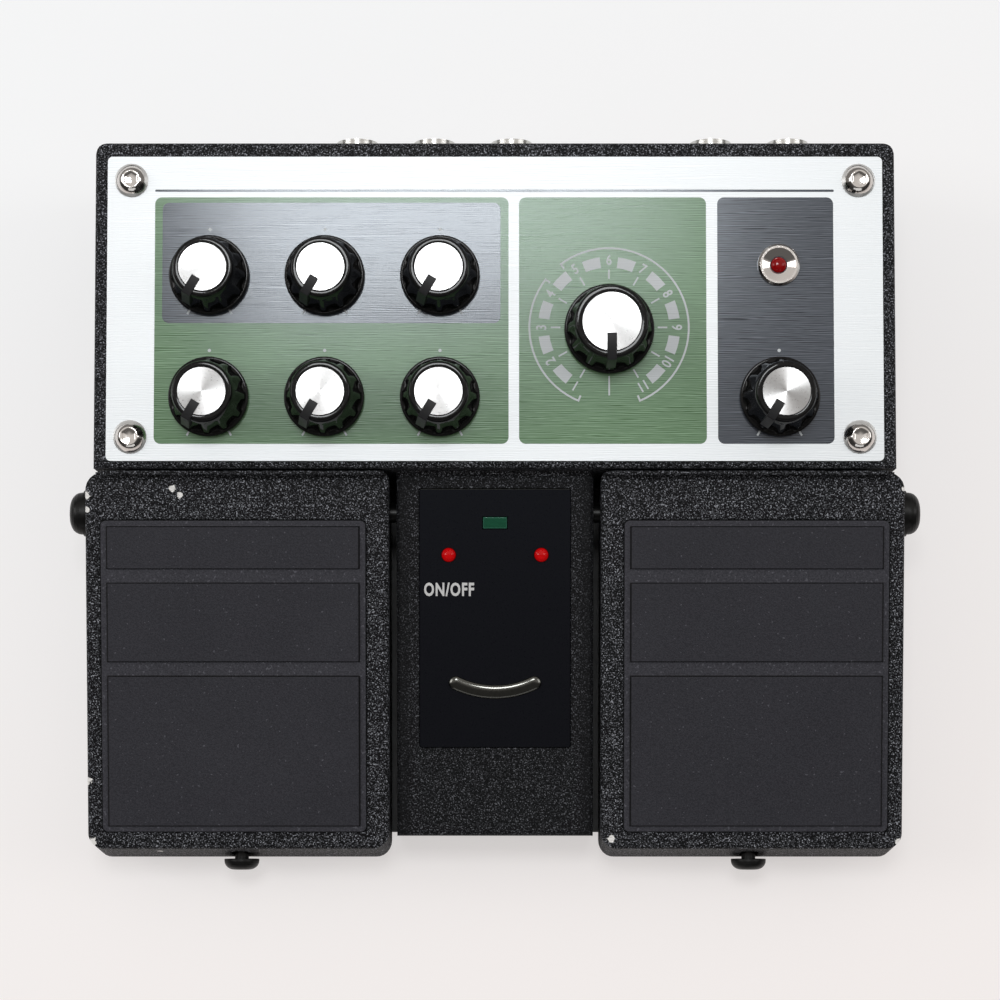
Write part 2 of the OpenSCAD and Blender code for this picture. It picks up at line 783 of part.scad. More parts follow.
module casting_bosses() {
    both_sides() {
        pivot_ear();
        // Seat of the inner pivot pin
        translate([console_w / 2 - pin_seat_l - pin_end_t, pivot_y, pivot_z])
            facing_right()
                cylinder(d = pin_boss_d, h = pin_seat_l + pin_end_t - fuse);
        // Seat of the front screw
        translate([stop_x, front_y, stop_z])
            facing_rear()
                cylinder(d = stop_boss_d, h = stop_seat_l + wall);
        translate([pedal_mid_x, spring_y, tray_z - fuse])
            cylinder(d = spring_peg_d, h = spring_peg_h + fuse);
        for (p = BASE_SCREWS)
            translate([p.x, p.y, base_z])
                cylinder(
                    d = screw_boss_d,
                    h = (p.y > box_front_y ? base_boss_top : tray_z - tray_t + fuse) - base_z);
        for (v = plate_screw_vs)
            on_deck(plate_screw_x, v, -deck_t - plate_boss_h)
                cylinder(d = plate_boss_d, h = plate_boss_h + fuse);
        // Lug over the main board
        translate([lug_x - lug_w / 2, lug_y - lug_w / 2, main_board_z])
            cube([box_w / 2 - wall + fuse - lug_x + lug_w / 2, lug_w, lug_h]);
    }
    // Post over the lamp board
    on_pedal(0, lamp_post_v, lamp_board_h)
        cylinder(d = screw_boss_d, h = lamp_board_depth - console_t + fuse);
}

module casting_holes() {
    bushing_hole = bushing_d + 2 * seat_fit;
    on_deck(0, plate_rim_rear - lay_fit, -plate_recess)
        linear_extrude(plate_recess + cut)
            polygon(rounded(
                box_points(-plate_w / 2 - lay_fit, plate_w / 2 + lay_fit, -plate_l - 2 * lay_fit, 0),
                even(plate_corner_r)));
    for (d = concat(DIALS, [MODE]))
        on_deck(d[1], d[2], -deck_t - cut)
            cylinder(d = bushing_hole, h = deck_t + 2 * cut);
    on_deck(input_x, peak_v, -deck_t - cut)
        cylinder(d = bezel_stem_d + 2 * seat_fit, h = deck_t + 2 * cut);
    both_sides() {
        for (v = plate_screw_vs)
            on_deck(plate_screw_x, v, -deck_t - plate_boss_h + cut)
                cylinder(d = plate_screw_d + 2 * seat_fit, h = deck_t + plate_boss_h + cut);
        translate([tray_out_x - ear_t - cut, pivot_y, pivot_z])
            facing_right()
                cylinder(d = pivot_d + 2 * seat_fit, h = ear_t + 2 * cut);
        translate([console_w / 2 - pin_seat_l, pivot_y, pivot_z])
            facing_right()
                cylinder(d = pivot_d + 2 * seat_fit, h = pin_seat_l + cut);
        translate([stop_x, front_y - cut, stop_z])
            facing_rear()
                cylinder(d = stop_d + 2 * seat_fit, h = stop_seat_l + cut + pass_gap);
        for (p = BASE_SCREWS)
            translate([p.x, p.y, base_z - cut])
                cylinder(d = screw_d + 2 * seat_fit, h = screw_l - base_t + cut + pass_gap);
        translate([lug_x, lug_y, main_board_z - cut])
            cylinder(d = screw_d + 2 * seat_fit, h = screw_l - board_t + cut + pass_gap);
        on_pedal(status_led_x, status_led_v, console_h - console_t - cut)
            cylinder(d = status_led_d + 2 * seat_fit, h = console_t + 2 * cut);
    }
    on_pedal(0, lamp_post_v, lamp_board_h - cut)
        cylinder(d = screw_d + 2 * seat_fit, h = screw_l - board_t + cut + pass_gap);
    on_pedal(0, power_v, console_h - console_t - cut)
        translate([-power_w / 2 - lay_fit, -power_l / 2 - lay_fit, 0])
            cube([power_w + 2 * lay_fit, power_l + 2 * lay_fit, console_t + 2 * cut]);
    on_pedal(0, name_plate_from_rear - lay_fit, console_h - name_plate_recess)
        linear_extrude(name_plate_recess + cut)
            polygon(rounded(
                box_points(
                    -name_plate_w / 2 - lay_fit, name_plate_w / 2 + lay_fit,
                    -name_plate_l - 2 * lay_fit, 0),
                even(name_plate_corner_r)));
    for (x = JACK_XS)
        translate([x, rear_y - wall - cut, jack_z])
            facing_rear()
                cylinder(d = jack_bush_d + 2 * seat_fit, h = wall + 2 * cut);
    translate([inlet_x, rear_y - wall - cut, jack_z])
        facing_rear()
            cylinder(d = inlet_d + 2 * seat_fit, h = wall + 2 * cut);
}

module chassis() {
    color(PAINT)
        difference() {
            union() {
                difference() {
                    union() {
                        box_form();
                        console_form();
                        console_hollow();
                        both_sides() tray_form();
                    }
                    box_cavity();
                    console_cavity();
                    both_sides() tray_cavity();
                }
                casting_bosses();
            }
            casting_holes();
        }
}

// Base

module bottom_plate() {
    color(STEEL)
        difference() {
            translate([0, 0, foot_h])
                linear_extrude(base_t)
                    polygon(rounded(
                        [[-base_x, base_front_y], [base_x, base_front_y],
                         [base_x, box_front_y], [base_rear_x, box_front_y],
                         [base_rear_x, base_rear_y], [-base_rear_x, base_rear_y],
                         [-base_rear_x, box_front_y], [-base_x, box_front_y]],
                        [for (i = [0:7]) i % 4 < 2 ? base_corner_r : 0]));
            both_sides()
                for (p = BASE_SCREWS)
                    translate([p.x, p.y, foot_h - cut])
                        cylinder(d = screw_d + 2 * seat_fit, h = base_t + 2 * cut);
        }
}

module bottom_screws() {
    color(STEEL)
        both_sides()
            for (p = BASE_SCREWS)
                translate([p.x, p.y, foot_h])
                    rotate([180, 0, 0])
                        small_screw();
}

module rubber_feet() {
    taper = foot_h / 4;
    color(RUBBER)
        both_sides()
            for (p = FEET)
                translate([p.x, p.y, 0])
                    rotate_extrude()
                        polygon([
                            [0, 0], [foot_d / 2 - taper, 0], [foot_d / 2, taper],
                            [foot_d / 2, foot_h], [0, foot_h]
                        ]);
}

// Control plate

module control_plate() {
    color(BRIGHT)
        difference() {
            on_deck(0, plate_rim_rear, -plate_recess)
                linear_extrude(plate_t)
                    polygon(rounded(
                        box_points(-plate_w / 2, plate_w / 2, -plate_l, 0),
                        even(plate_corner_r)));
            for (d = concat(DIALS, [MODE]))
                on_deck(d[1], d[2], -plate_recess - cut)
                    cylinder(d = bushing_d + 2 * seat_fit, h = plate_t + 2 * cut);
            on_deck(input_x, peak_v, -plate_recess - cut)
                cylinder(d = bezel_stem_d + 2 * seat_fit, h = plate_t + 2 * cut);
            both_sides()
                for (v = plate_screw_vs)
                    on_deck(plate_screw_x, v, -plate_recess - cut)
                        cylinder(d = plate_screw_d + 2 * seat_fit, h = plate_t + 2 * cut);
        }
}

module plate_screws() {
    color(BRIGHT)
        both_sides()
            for (v = plate_screw_vs)
                on_deck(plate_screw_x, v, plate_top)
                    dome_screw(
                        plate_screw_head_d, plate_screw_head_h,
                        plate_screw_d, plate_screw_l, plate_screw_head_d / 3);
}

// Console plate and lights

module name_plate() {
    chord = ridge_l / 2;
    ridge_r = (chord * chord + ridge_sag * ridge_sag) / (2 * ridge_sag);
    ridge_span = 2 * asin(chord / ridge_r);
    color("#17181a")
        difference() {
            union() {
                on_pedal(0, name_plate_from_rear, console_h - name_plate_recess)
                    linear_extrude(name_plate_t)
                        polygon(rounded(
                            box_points(-name_plate_w / 2, name_plate_w / 2, -name_plate_l, 0),
                            even(name_plate_corner_r)));
                on_pedal(0, ridge_from_rear - ridge_r, name_plate_top - ridge_h / 3)
                    rotate([0, 0, -90 - ridge_span / 2])
                        rotate_extrude(angle = ridge_span)
                            translate([ridge_r, 0])
                                polygon(rounded(
                                    box_points(-ridge_w / 2, ridge_w / 2, 0, ridge_h * 4 / 3),
                                    [0, 0, ridge_h, ridge_h]));
            }
            both_sides()
                on_pedal(status_led_x, status_led_v, console_h - name_plate_recess - cut)
                    cylinder(d = status_led_d + 2 * seat_fit, h = name_plate_t + 2 * cut);
            on_pedal(0, power_v, console_h - name_plate_recess - cut)
                translate([-power_w / 2 - lay_fit, -power_l / 2 - lay_fit, 0])
                    cube([power_w + 2 * lay_fit, power_l + 2 * lay_fit, name_plate_t + 2 * cut]);
        }
}

// A round light: domed lens with its foot on a board, standing height tall
module light(d, height) {
    lead_d = d / 6;
    lens_h = d * 1.6;
    translate([0, 0, height - lens_h])
        rotate_extrude()
            polygon(rounded(
                [[0, 0], [d / 2, 0], [d / 2, lens_h], [0, lens_h]],
                [0, 0, d / 2 - d / 16, 0]));
    for (side = [-1, 1])
        translate([side * d / 4, 0, 0])
            cylinder(d = lead_d, h = height - lens_h + fuse);
}

module status_leds() {
    color("#c00d12")
        both_sides()
            on_pedal(status_led_x, status_led_v, lamp_board_h)
                light(status_led_d, name_plate_top + status_led_out - lamp_board_h);
}

module power_lens() {
    lens_out = 0.2;
    color("#0f6b3c")
        on_pedal(0, power_v, lamp_board_h)
            translate([-power_w / 2, -power_l / 2, 0])
                cube([power_w, power_l, name_plate_top + lens_out - lamp_board_h]);
}

module lamp_board() {
    color(BOARD)
        difference() {
            on_pedal(0, lamp_board_v0, lamp_board_h - board_t)
                translate([-lamp_board_w / 2, lamp_board_v0 - lamp_board_v1, 0])
                    cube([lamp_board_w, lamp_board_v1 - lamp_board_v0, board_t]);
            on_pedal(0, lamp_post_v, lamp_board_h - board_t - cut)
                cylinder(d = screw_d + 2 * seat_fit, h = board_t + 2 * cut);
        }
}

module peak_bezel() {
    rim = bezel_d / 10;
    throat_r = peak_led_d / 2 + seat_fit;
    color(BRIGHT)
        on_deck(input_x, peak_v, plate_top)
            rotate_extrude()
                polygon([
                    [throat_r, -plate_top - deck_t - 1],
                    [bezel_stem_d / 2, -plate_top - deck_t - 1],
                    [bezel_stem_d / 2, 0],
                    [bezel_d / 2, 0],
                    [bezel_d / 2, bezel_h - rim / 2],
                    [bezel_d / 2 - rim / 2, bezel_h],
                    [bezel_d / 2 - rim, bezel_h],
                    [throat_r, bezel_h / 4]
                ]);
}

module peak_led() {
    board_h = -deck_t - pot_h;
    color("#c00d12")
        on_deck(input_x, peak_v, board_h)
            light(peak_led_d, plate_top + bezel_h - board_h);
}

// Boards

module panel_board() {
    side = plate_screw_x - plate_boss_d / 2 - board_gap;
    front_v = dial_front_v + pot_w / 2 + board_gap;
    rear_v = dial_rear_v - pot_w / 2 - board_gap;
    color(BOARD)
        on_deck(0, rear_v, -deck_t - pot_h - board_t)
            translate([-side, rear_v - front_v, 0])
                cube([2 * side, front_v - rear_v, board_t]);
}

module main_board() {
    side = box_w / 2 - wall - board_gap;
    front = box_front_y + wall + board_gap;
    color(BOARD)
        difference() {
            translate([-side, front, main_board_z - board_t])
                cube([2 * side, rear_y - wall - board_gap - front, board_t]);
            both_sides()
                translate([lug_x, lug_y, main_board_z - board_t - cut])
                    cylinder(d = screw_d + 2 * seat_fit, h = board_t + 2 * cut);
        }
}

module board_screws() {
    color(STEEL) {
        both_sides()
            translate([lug_x, lug_y, main_board_z - board_t])
                rotate([180, 0, 0])
                    small_screw();
        on_pedal(0, lamp_post_v, lamp_board_h - board_t)
            rotate([180, 0, 0])
                small_screw();
    }
}

// Potentiometers and mode switch

// Bored bushing on the deck frame, from the deck's underside to above the nut
module bushing() {
    translate([0, 0, -deck_t - fuse])
        cylinder(d = bushing_d, h = deck_t + bushing_top + fuse);
}

module shaft_bore() {
    translate([0, 0, -deck_t - shaft_seat - pass_gap])
        cylinder(d = shaft_d + 2 * run_fit, h = deck_t + shaft_seat + bushing_top + cut);
}

module pot_bodies() {
    color(STEEL)
        for (d = DIALS)
            on_deck(d[1], d[2])
                difference() {
                    union() {
                        translate([-pot_w / 2, -pot_w / 2, -deck_t - pot_h])
                            cube([pot_w, pot_w, pot_h]);
                        bushing();
                    }
                    shaft_bore();
                }
}

module mode_switch() {
    color(STEEL)
        on_deck(MODE[1], MODE[2])
            difference() {
                union() {
                    translate([0, 0, -deck_t - pot_h]) cylinder(d = mode_switch_d, h = pot_h);
                    bushing();
                }
                shaft_bore();
            }
}

module bushing_nuts() {
    color(STEEL)
        for (d = concat(DIALS, [MODE]))
            on_deck(d[1], d[2], plate_top)
                hex_nut(bushing_nut_w, bushing_nut_h, bushing_d + 2 * seat_fit);
}

// Knobs

// Round shaft with a flat on its rear side
module shaft_section(r, flat) {
    intersection() {
        circle(r = r);
        translate([-r - cut, -r - cut]) square([2 * r + 2 * cut, 2 * r + cut - flat]);
    }
}

module shaft(dial, rest) {
    gripped_from = knob_foot + knob_hollow;
    color(STEEL)
        on_deck(dial[1], dial[2])
            rotate([0, 0, -rest]) {
                translate([0, 0, -deck_t - shaft_seat])
                    cylinder(d = shaft_d, h = gripped_from + deck_t + shaft_seat);
                translate([0, 0, gripped_from - fuse])
                    linear_extrude(shaft_grip + fuse)
                        shaft_section(shaft_d / 2, shaft_flat);
            }
}

// Round flute with an arched upper end
module flute(length) {
    cylinder(r = flute_r, h = length);
    translate([0, 0, length]) sphere(r = flute_r);
}

// Fluted knob on the control plate, its pointer turned by rest from straight forward
module knob(dial, foot_d, top_d, cap_d, height, rest) {
    side_r = foot_d / 2 - knob_ring_step;
    taper = atan((side_r - top_d / 2) / (height - knob_ring_h));
    flute_foot = knob_ring_h + flute_r * sin(taper) + flute_clear;
    flute_x = side_r - (flute_foot - knob_ring_h) * tan(taper) + flute_r - flute_depth;
    flute_arch = sqrt(pow(flute_r, 2) - pow(flute_r - flute_depth, 2));
    flute_l = (height - flute_from_top - flute_foot) / cos(taper) - flute_arch;
    bar_top = height + pointer_rise;
    bar_end = top_d / 2 + knob_ring_step;
    color(GLOSS)
        on_deck(dial[1], dial[2], knob_foot)
            rotate([0, 0, -rest])
                difference() {
                    union() {
                        difference() {
                            rotate_extrude()
                                polygon([
                                    [0, 0], [foot_d / 2, 0], [foot_d / 2, knob_ring_h],
                                    [side_r, knob_ring_h], [top_d / 2, height], [0, height]
                                ]);
                            for (i = [0:knob_flutes - 1])
                                rotate([0, 0, (i + 0.5) * 360 / knob_flutes - 90])
                                    translate([flute_x, 0, flute_foot])
                                        rotate([0, -taper, 0])
                                            flute(flute_l);
                            translate([0, 0, height - cap_recess])
                                cylinder(d = cap_d + 2 * seat_fit, h = cap_recess + cut);
                        }
                        across(-pointer_w / 2, pointer_w / 2)
                            polygon([
                                [-pointer_start, height - cap_recess - fuse],
                                [-pointer_start, bar_top],
                                [-bar_end, bar_top],
                                [-side_r, height / 2],
                                [-side_r + 2 * knob_ring_step, height / 2]
                            ]);
                    }
                    translate([0, 0, -cut]) cylinder(r = hollow_r, h = knob_hollow + cut);
                    linear_extrude(knob_bore_top) shaft_section(shaft_d / 2 + seat_fit, shaft_flat);
                }
}

// Metal disc on a knob, notched for the pointer bar
module cap(dial, cap_d, height, rest) {
    color(BRIGHT)
        on_deck(dial[1], dial[2], knob_foot + height - cap_recess)
            difference() {
                cylinder(d = cap_d, h = cap_t);
                rotate([0, 0, -rest])
                    translate([-pointer_w / 2 - seat_fit, -cap_d, -cut])
                        cube([pointer_w + 2 * seat_fit, cap_d - pointer_start + seat_fit, cap_t + 2 * cut]);
            }
}

module dial_knob(dial) {
    knob(dial, knob_d, knob_top_d, knob_cap_d, knob_h, dial_rest);
}

module dial_cap(dial) {
    cap(dial, knob_cap_d, knob_h, dial_rest);
}

module dial_shaft(dial) {
    shaft(dial, dial_rest);
}

module mode_knob() {
    knob(MODE, mode_knob_d, mode_knob_top_d, mode_knob_cap_d, mode_knob_h, 0);
}

module mode_cap() {
    cap(MODE, mode_knob_cap_d, mode_knob_h, 0);
}

module mode_shaft() {
    shaft(MODE, 0);
}

// Jacks and power inlet

module jack_bodies() {
    color("#232427")
        for (x = JACK_XS)
            translate([x, rear_y, jack_z])
                difference() {
                    union() {
                        translate([-jack_w / 2, -wall - jack_d, -jack_h / 2])
                            cube([jack_w, jack_d, jack_h]);
                        translate([0, -wall - fuse, 0])
                            facing_rear()
                                cylinder(d = jack_bush_d, h = wall + fuse + jack_out);
                    }
                    translate([0, jack_out - jack_bore_l, 0])
                        facing_rear()
                            cylinder(d = jack_bore_d, h = jack_bore_l + cut);
                }
}

module jack_washers() {
    color(STEEL)
        for (x = JACK_XS)
            translate([x, rear_y, jack_z])
                facing_rear()
                    ring(jack_washer_d, jack_bush_d + 2 * seat_fit, jack_washer_t);
}

module jack_nuts() {
    color(BRIGHT)
        for (x = JACK_XS)
            translate([x, rear_y + jack_washer_t, jack_z])
                facing_rear()
                    hex_nut(jack_nut_w, jack_nut_h, jack_bush_d + 2 * seat_fit);
}

module power_inlet() {
    bore_l = inlet_depth - wall;
    color("#232427")
        translate([inlet_x, rear_y, jack_z]) {
            difference() {
                union() {
                    translate([-inlet_d / 2, -inlet_depth, -jack_h / 2])
                        cube([inlet_d, inlet_depth - wall, jack_h / 2 + inlet_d / 2]);
                    translate([0, -wall - fuse, 0])
                        facing_rear()
                            cylinder(d = inlet_d, h = wall + fuse);
                }
                translate([0, -bore_l, 0])
                    facing_rear()
                        cylinder(d = inlet_bore_d, h = bore_l + cut);
            }
            translate([0, -bore_l - fuse, 0])
                facing_rear()
                    cylinder(d = inlet_pin_d, h = bore_l);
        }
}

// Pedals, drawn for the right-hand side

module pedal_form() {
    reach = pedal_l / 4;
    intersection() {
        on_pedal()
            across(pedal_in_x - cut, pedal_out_x + cut)
                polygon(rounded(
                    [[0, 0], [-pedal_l, 0], [-pedal_l - nose_out, -skirt_h], [-nose_out, -skirt_h]],
                    [0, pedal_edge_r, pedal_edge_r / 2, 0]));
        on_pedal()
            rotate([-nose_draft, 0, 0])
                translate([0, 0, -pedal_l])
                    linear_extrude(2 * pedal_l)
                        polygon(rounded(
                            box_points(pedal_in_x, pedal_out_x, -pedal_l * cos(nose_draft), 0),
                            [pedal_front_r, pedal_front_r, pedal_rear_r, pedal_inner_r]));
        on_pedal()
            forward(-reach, pedal_l + reach)
                polygon(rounded(
                    box_points(pedal_in_x, pedal_out_x, -2 * skirt_h, 0),
                    [0, 0, pedal_edge_r, pedal_edge_r]));
    }
}

// Brow along a pedal's rear edge, upright against the control box and hollowed to the pedal's top
module pedal_brow() {
    lean = tan(pedal_tilt);
    front = brow_h * lean - brow_t;
    start = pedal_in_x + pedal_edge_r;
    end = box_w / 2 - brow_r;
    radii = [0, brow_top_r, brow_top_r, brow_r, 0, 0];
    on_pedal()
        intersection() {
            across(pedal_in_x, pedal_out_x)
                polygon(rounded(
                    [[-fuse * lean, -fuse], [brow_h * lean, brow_h], [front, brow_h], [front, -sink],
                     [front - 2 * brow_r, -sink], [front - 2 * brow_r, -fuse]],
                    radii));
            forward(-brow_h, brow_t + 3 * brow_r)
                polygon(rounded(
                    [[start, -fuse], [start, brow_h], [end, brow_h], [end, -sink],
                     [box_w / 2 + sink, -sink], [box_w / 2 + sink, -fuse]],
                    radii));
            linear_extrude(3 * brow_h, center = true)
                polygon(rounded(
                    box_points(pedal_in_x, pedal_out_x, -pedal_l / 2, brow_h * lean),
                    [0, 0, pedal_rear_r, pedal_inner_r]));
        }
}

module pedal_cavity() {
    foot = skirt_h + cut;
    on_pedal()
        across(pedal_in_x + skirt_t, pedal_out_x - skirt_t)
            polygon([
                [-skirt_t - pedal_t * skirt_lean, -pedal_t],
                [-skirt_in_v - pedal_t * skirt_lean, -pedal_t],
                [-skirt_in_v - foot * skirt_lean, -foot],
                [cut, -foot],
                [cut, -rear_lip_h],
                [-skirt_t - rear_lip_h * skirt_lean, -rear_lip_h]
            ]);
}

// Seats on a pedal's underside for its spring and for the foot switch
module pedal_seats() {
    translate([pedal_mid_x, spring_y, spring_top_z])
        cylinder(r = spring_seat_r, h = pedal_plane_z(spring_y, -pedal_t / 2) - spring_top_z);
    translate([pedal_mid_x, switch_y, striker_z])
        cylinder(d = plunger_d, h = pedal_plane_z(switch_y, -pedal_t / 2) - striker_z);
}

// Upright slot in the front skirt for the stop screw
module stop_slot() {
    slot_d = stop_d + 2 * pass_gap;
    fall = (pivot_y - nose_y) * sin(pedal_press) + pass_gap;
    deep = skirt_t + nose_out;
    translate([stop_x, front_y, stop_z])
        facing_front() {
            cylinder(d = slot_d, h = 2 * deep);
            translate([0, fall, 0]) cylinder(d = slot_d, h = 2 * deep);
            translate([-slot_d / 2, 0, 0]) cube([slot_d, fall, 2 * deep]);
        }
}

module pedal() {
    color(PAINT)
        difference() {
            union() {
                difference() {
                    pedal_form();
                    pedal_cavity();
                }
                pedal_brow();
                pedal_seats();
            }
            on_pedal(0, pad_from_rear - lay_fit, -pad_recess)
                linear_extrude(pad_recess + cut)
                    polygon(rounded(
                        box_points(
                            pedal_in_x + pad_rim_in - lay_fit, pedal_out_x - pad_rim_out + lay_fit,
                            -pad_l - 2 * lay_fit, 0),
                        even(pad_corner_r)));
            translate([pedal_in_x - cut, pivot_y, pivot_z])
                facing_right()
                    cylinder(d = pivot_d + 2 * run_fit, h = pedal_out_x - pedal_in_x + 2 * cut);
            stop_slot();
        }
}

module pedal_right() {
    pedal();
}

module pedal_left() {
    mirror([1, 0, 0]) pedal();
}

module pad() {
    x0 = pedal_in_x + pad_rim_in;
    x1 = pedal_out_x - pad_rim_out;
    rear_end = -pad_border - pad_rear_panel_l;
    mid_end = rear_end - pad_groove_w - pad_mid_panel_l;
    panels = [
        [-pad_border, rear_end],
        [rear_end - pad_groove_w, mid_end],
        [mid_end - pad_groove_w, -pad_l + pad_border]
    ];
    color(RUBBER)
        on_pedal(0, pad_from_rear, -pad_recess) {
            linear_extrude(pad_t)
                polygon(rounded(box_points(x0, x1, -pad_l, 0), even(pad_corner_r)));
            for (p = panels)
                translate([0, 0, pad_t - fuse])
                    linear_extrude(pad_rise + fuse)
                        polygon(box_points(x0 + pad_border, x1 - pad_border, p[1], p[0]));
        }
}

module pad_right() {
    pad();
}

module pad_left() {
    mirror([1, 0, 0]) pad();
}

// Springs and foot switches

// Coil of wire with its foot on the tray and its top at the pedal's seat
module spring() {
    wire_r = spring_wire_d / 2;
    coil_r = spring_d / 2 - wire_r;
    rise = spring_top_z - tray_z - 2 * wire_r;
    rings = spring_turns * spring_rings;
    lean = atan(rise / spring_turns / (2 * PI * coil_r));
    points = [for (i = [0:rings], j = [0:spring_sides - 1])
        let (
            turn = 360 * i / spring_rings,
            side = 360 * j / spring_sides,
            out = coil_r + wire_r * cos(side),
            up = wire_r * sin(side)
        )
        [
            out * cos(turn) + up * sin(lean) * sin(turn),
            out * sin(turn) - up * sin(lean) * cos(turn),
            wire_r + rise * i / rings + up * cos(lean)
        ]];
    first = [for (j = [0:spring_sides - 1]) j];
    last = [for (j = [spring_sides - 1:-1:0]) rings * spring_sides + j];
    skin = [for (i = [0:rings - 1], j = [0:spring_sides - 1], half = [0, 1])
        let (
            a = i * spring_sides + j,
            b = i * spring_sides + (j + 1) % spring_sides
        )
        half == 0 ? [a, a + spring_sides, b] : [b, a + spring_sides, b + spring_sides]];
    color(STEEL)
        translate([pedal_mid_x, spring_y, tray_z])
            polyhedron(points, concat([first], skin, [last]));
}

module spring_right() {
    spring();
}

module spring_left() {
    mirror([1, 0, 0]) spring();
}

module foot_switches() {
    color("#3a3b3f")
        both_sides()
            translate([pedal_mid_x, switch_y, tray_z])
                difference() {
                    translate([-switch_w / 2, -switch_w / 2, 0]) cube([switch_w, switch_w, switch_h]);
                    translate([0, 0, -cut]) cylinder(d = plunger_d + 2 * run_fit, h = switch_h + 2 * cut);
                }
}

module plunger() {
    stem = plunger_top_z - plunger_foot_z;
    color(BRIGHT)
        translate([pedal_mid_x, switch_y, plunger_foot_z])
            rotate_extrude()
                polygon(rounded(
                    [[0, 0], [plunger_d / 2, 0], [plunger_d / 2, stem], [0, stem]],
                    [0, 0, plunger_d / 5, 0]));
}

module plunger_right() {
    plunger();
}

module plunger_left() {
    mirror([1, 0, 0]) plunger();
}

// Pivots and stops

module pivot_screws() {
    head_x = pedal_out_x + side_play + pivot_washer_t;
    color(GLOSS)
        both_sides()
            translate([head_x, pivot_y, pivot_z])
                facing_right()
                    dome_screw(
                        pivot_head_d, pivot_head_h, pivot_d,
                        head_x - tray_out_x + ear_t, pivot_head_d / 3);
}

module pivot_washers() {
    color(GLOSS)
        both_sides()
            translate([pedal_out_x + side_play, pivot_y, pivot_z])
                facing_right()
                    ring(pivot_washer_d, pivot_d + 2 * seat_fit, pivot_washer_t);
}

module pivot_pins() {
    color(STEEL)
        both_sides()
            translate([console_w / 2 - pin_seat_l, pivot_y, pivot_z])
                facing_right()
                    cylinder(d = pivot_d, h = pin_seat_l + console_gap + skirt_t + side_play);
}

module stop_screws() {
    color(GLOSS)
        both_sides()
            translate([stop_x, nose_y - stop_clear, stop_z])
                facing_front()
                    dome_screw(
                        stop_head_d, stop_head_h, stop_d,
                        front_y - nose_y + stop_clear + stop_seat_l, stop_head_d / 3);
}

chassis();
bottom_plate();
bottom_screws();
rubber_feet();
control_plate();
plate_screws();
name_plate();
power_lens();
status_leds();
peak_bezel();
peak_led();
panel_board();
main_board();
lamp_board();
board_screws();
pot_bodies();
mode_switch();
bushing_nuts();
jack_bodies();
jack_washers();
jack_nuts();
power_inlet();
pivot_screws();
pivot_washers();
pivot_pins();
stop_screws();
foot_switches();
pedal_left();
pedal_right();
pad_left();
pad_right();
spring_left();
spring_right();
plunger_left();
plunger_right();
for (d = DIALS) {
    dial_knob(d);
    dial_cap(d);
    dial_shaft(d);
}
mode_knob();
mode_cap();
mode_shaft();
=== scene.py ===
import json
import math

import bmesh
import bpy
from mathutils import Matrix, Vector


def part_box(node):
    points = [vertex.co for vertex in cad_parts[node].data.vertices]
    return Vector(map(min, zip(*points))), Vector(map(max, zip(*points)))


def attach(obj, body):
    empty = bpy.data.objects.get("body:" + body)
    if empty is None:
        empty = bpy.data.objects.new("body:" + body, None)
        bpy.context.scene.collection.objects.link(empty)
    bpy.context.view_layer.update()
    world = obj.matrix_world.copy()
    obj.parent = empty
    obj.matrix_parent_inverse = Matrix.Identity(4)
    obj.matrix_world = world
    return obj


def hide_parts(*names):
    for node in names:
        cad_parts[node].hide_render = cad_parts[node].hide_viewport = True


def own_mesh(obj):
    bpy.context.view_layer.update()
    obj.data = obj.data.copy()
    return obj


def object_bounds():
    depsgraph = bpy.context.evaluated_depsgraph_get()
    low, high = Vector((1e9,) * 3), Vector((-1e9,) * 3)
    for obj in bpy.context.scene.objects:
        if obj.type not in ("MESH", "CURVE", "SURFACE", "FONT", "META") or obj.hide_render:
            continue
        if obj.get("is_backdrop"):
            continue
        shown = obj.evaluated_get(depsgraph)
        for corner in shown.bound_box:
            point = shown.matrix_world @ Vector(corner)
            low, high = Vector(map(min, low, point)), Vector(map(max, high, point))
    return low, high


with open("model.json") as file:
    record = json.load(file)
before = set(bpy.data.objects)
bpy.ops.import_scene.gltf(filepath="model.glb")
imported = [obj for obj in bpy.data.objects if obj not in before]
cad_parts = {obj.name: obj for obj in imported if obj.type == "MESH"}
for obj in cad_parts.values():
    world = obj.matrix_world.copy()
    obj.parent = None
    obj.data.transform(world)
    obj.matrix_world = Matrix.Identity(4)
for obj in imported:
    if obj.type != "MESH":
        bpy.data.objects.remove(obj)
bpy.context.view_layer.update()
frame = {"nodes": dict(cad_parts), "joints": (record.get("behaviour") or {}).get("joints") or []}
nodes = frame["nodes"]
joints = {joint["name"]: joint for joint in frame["joints"]}
MM = 0.001
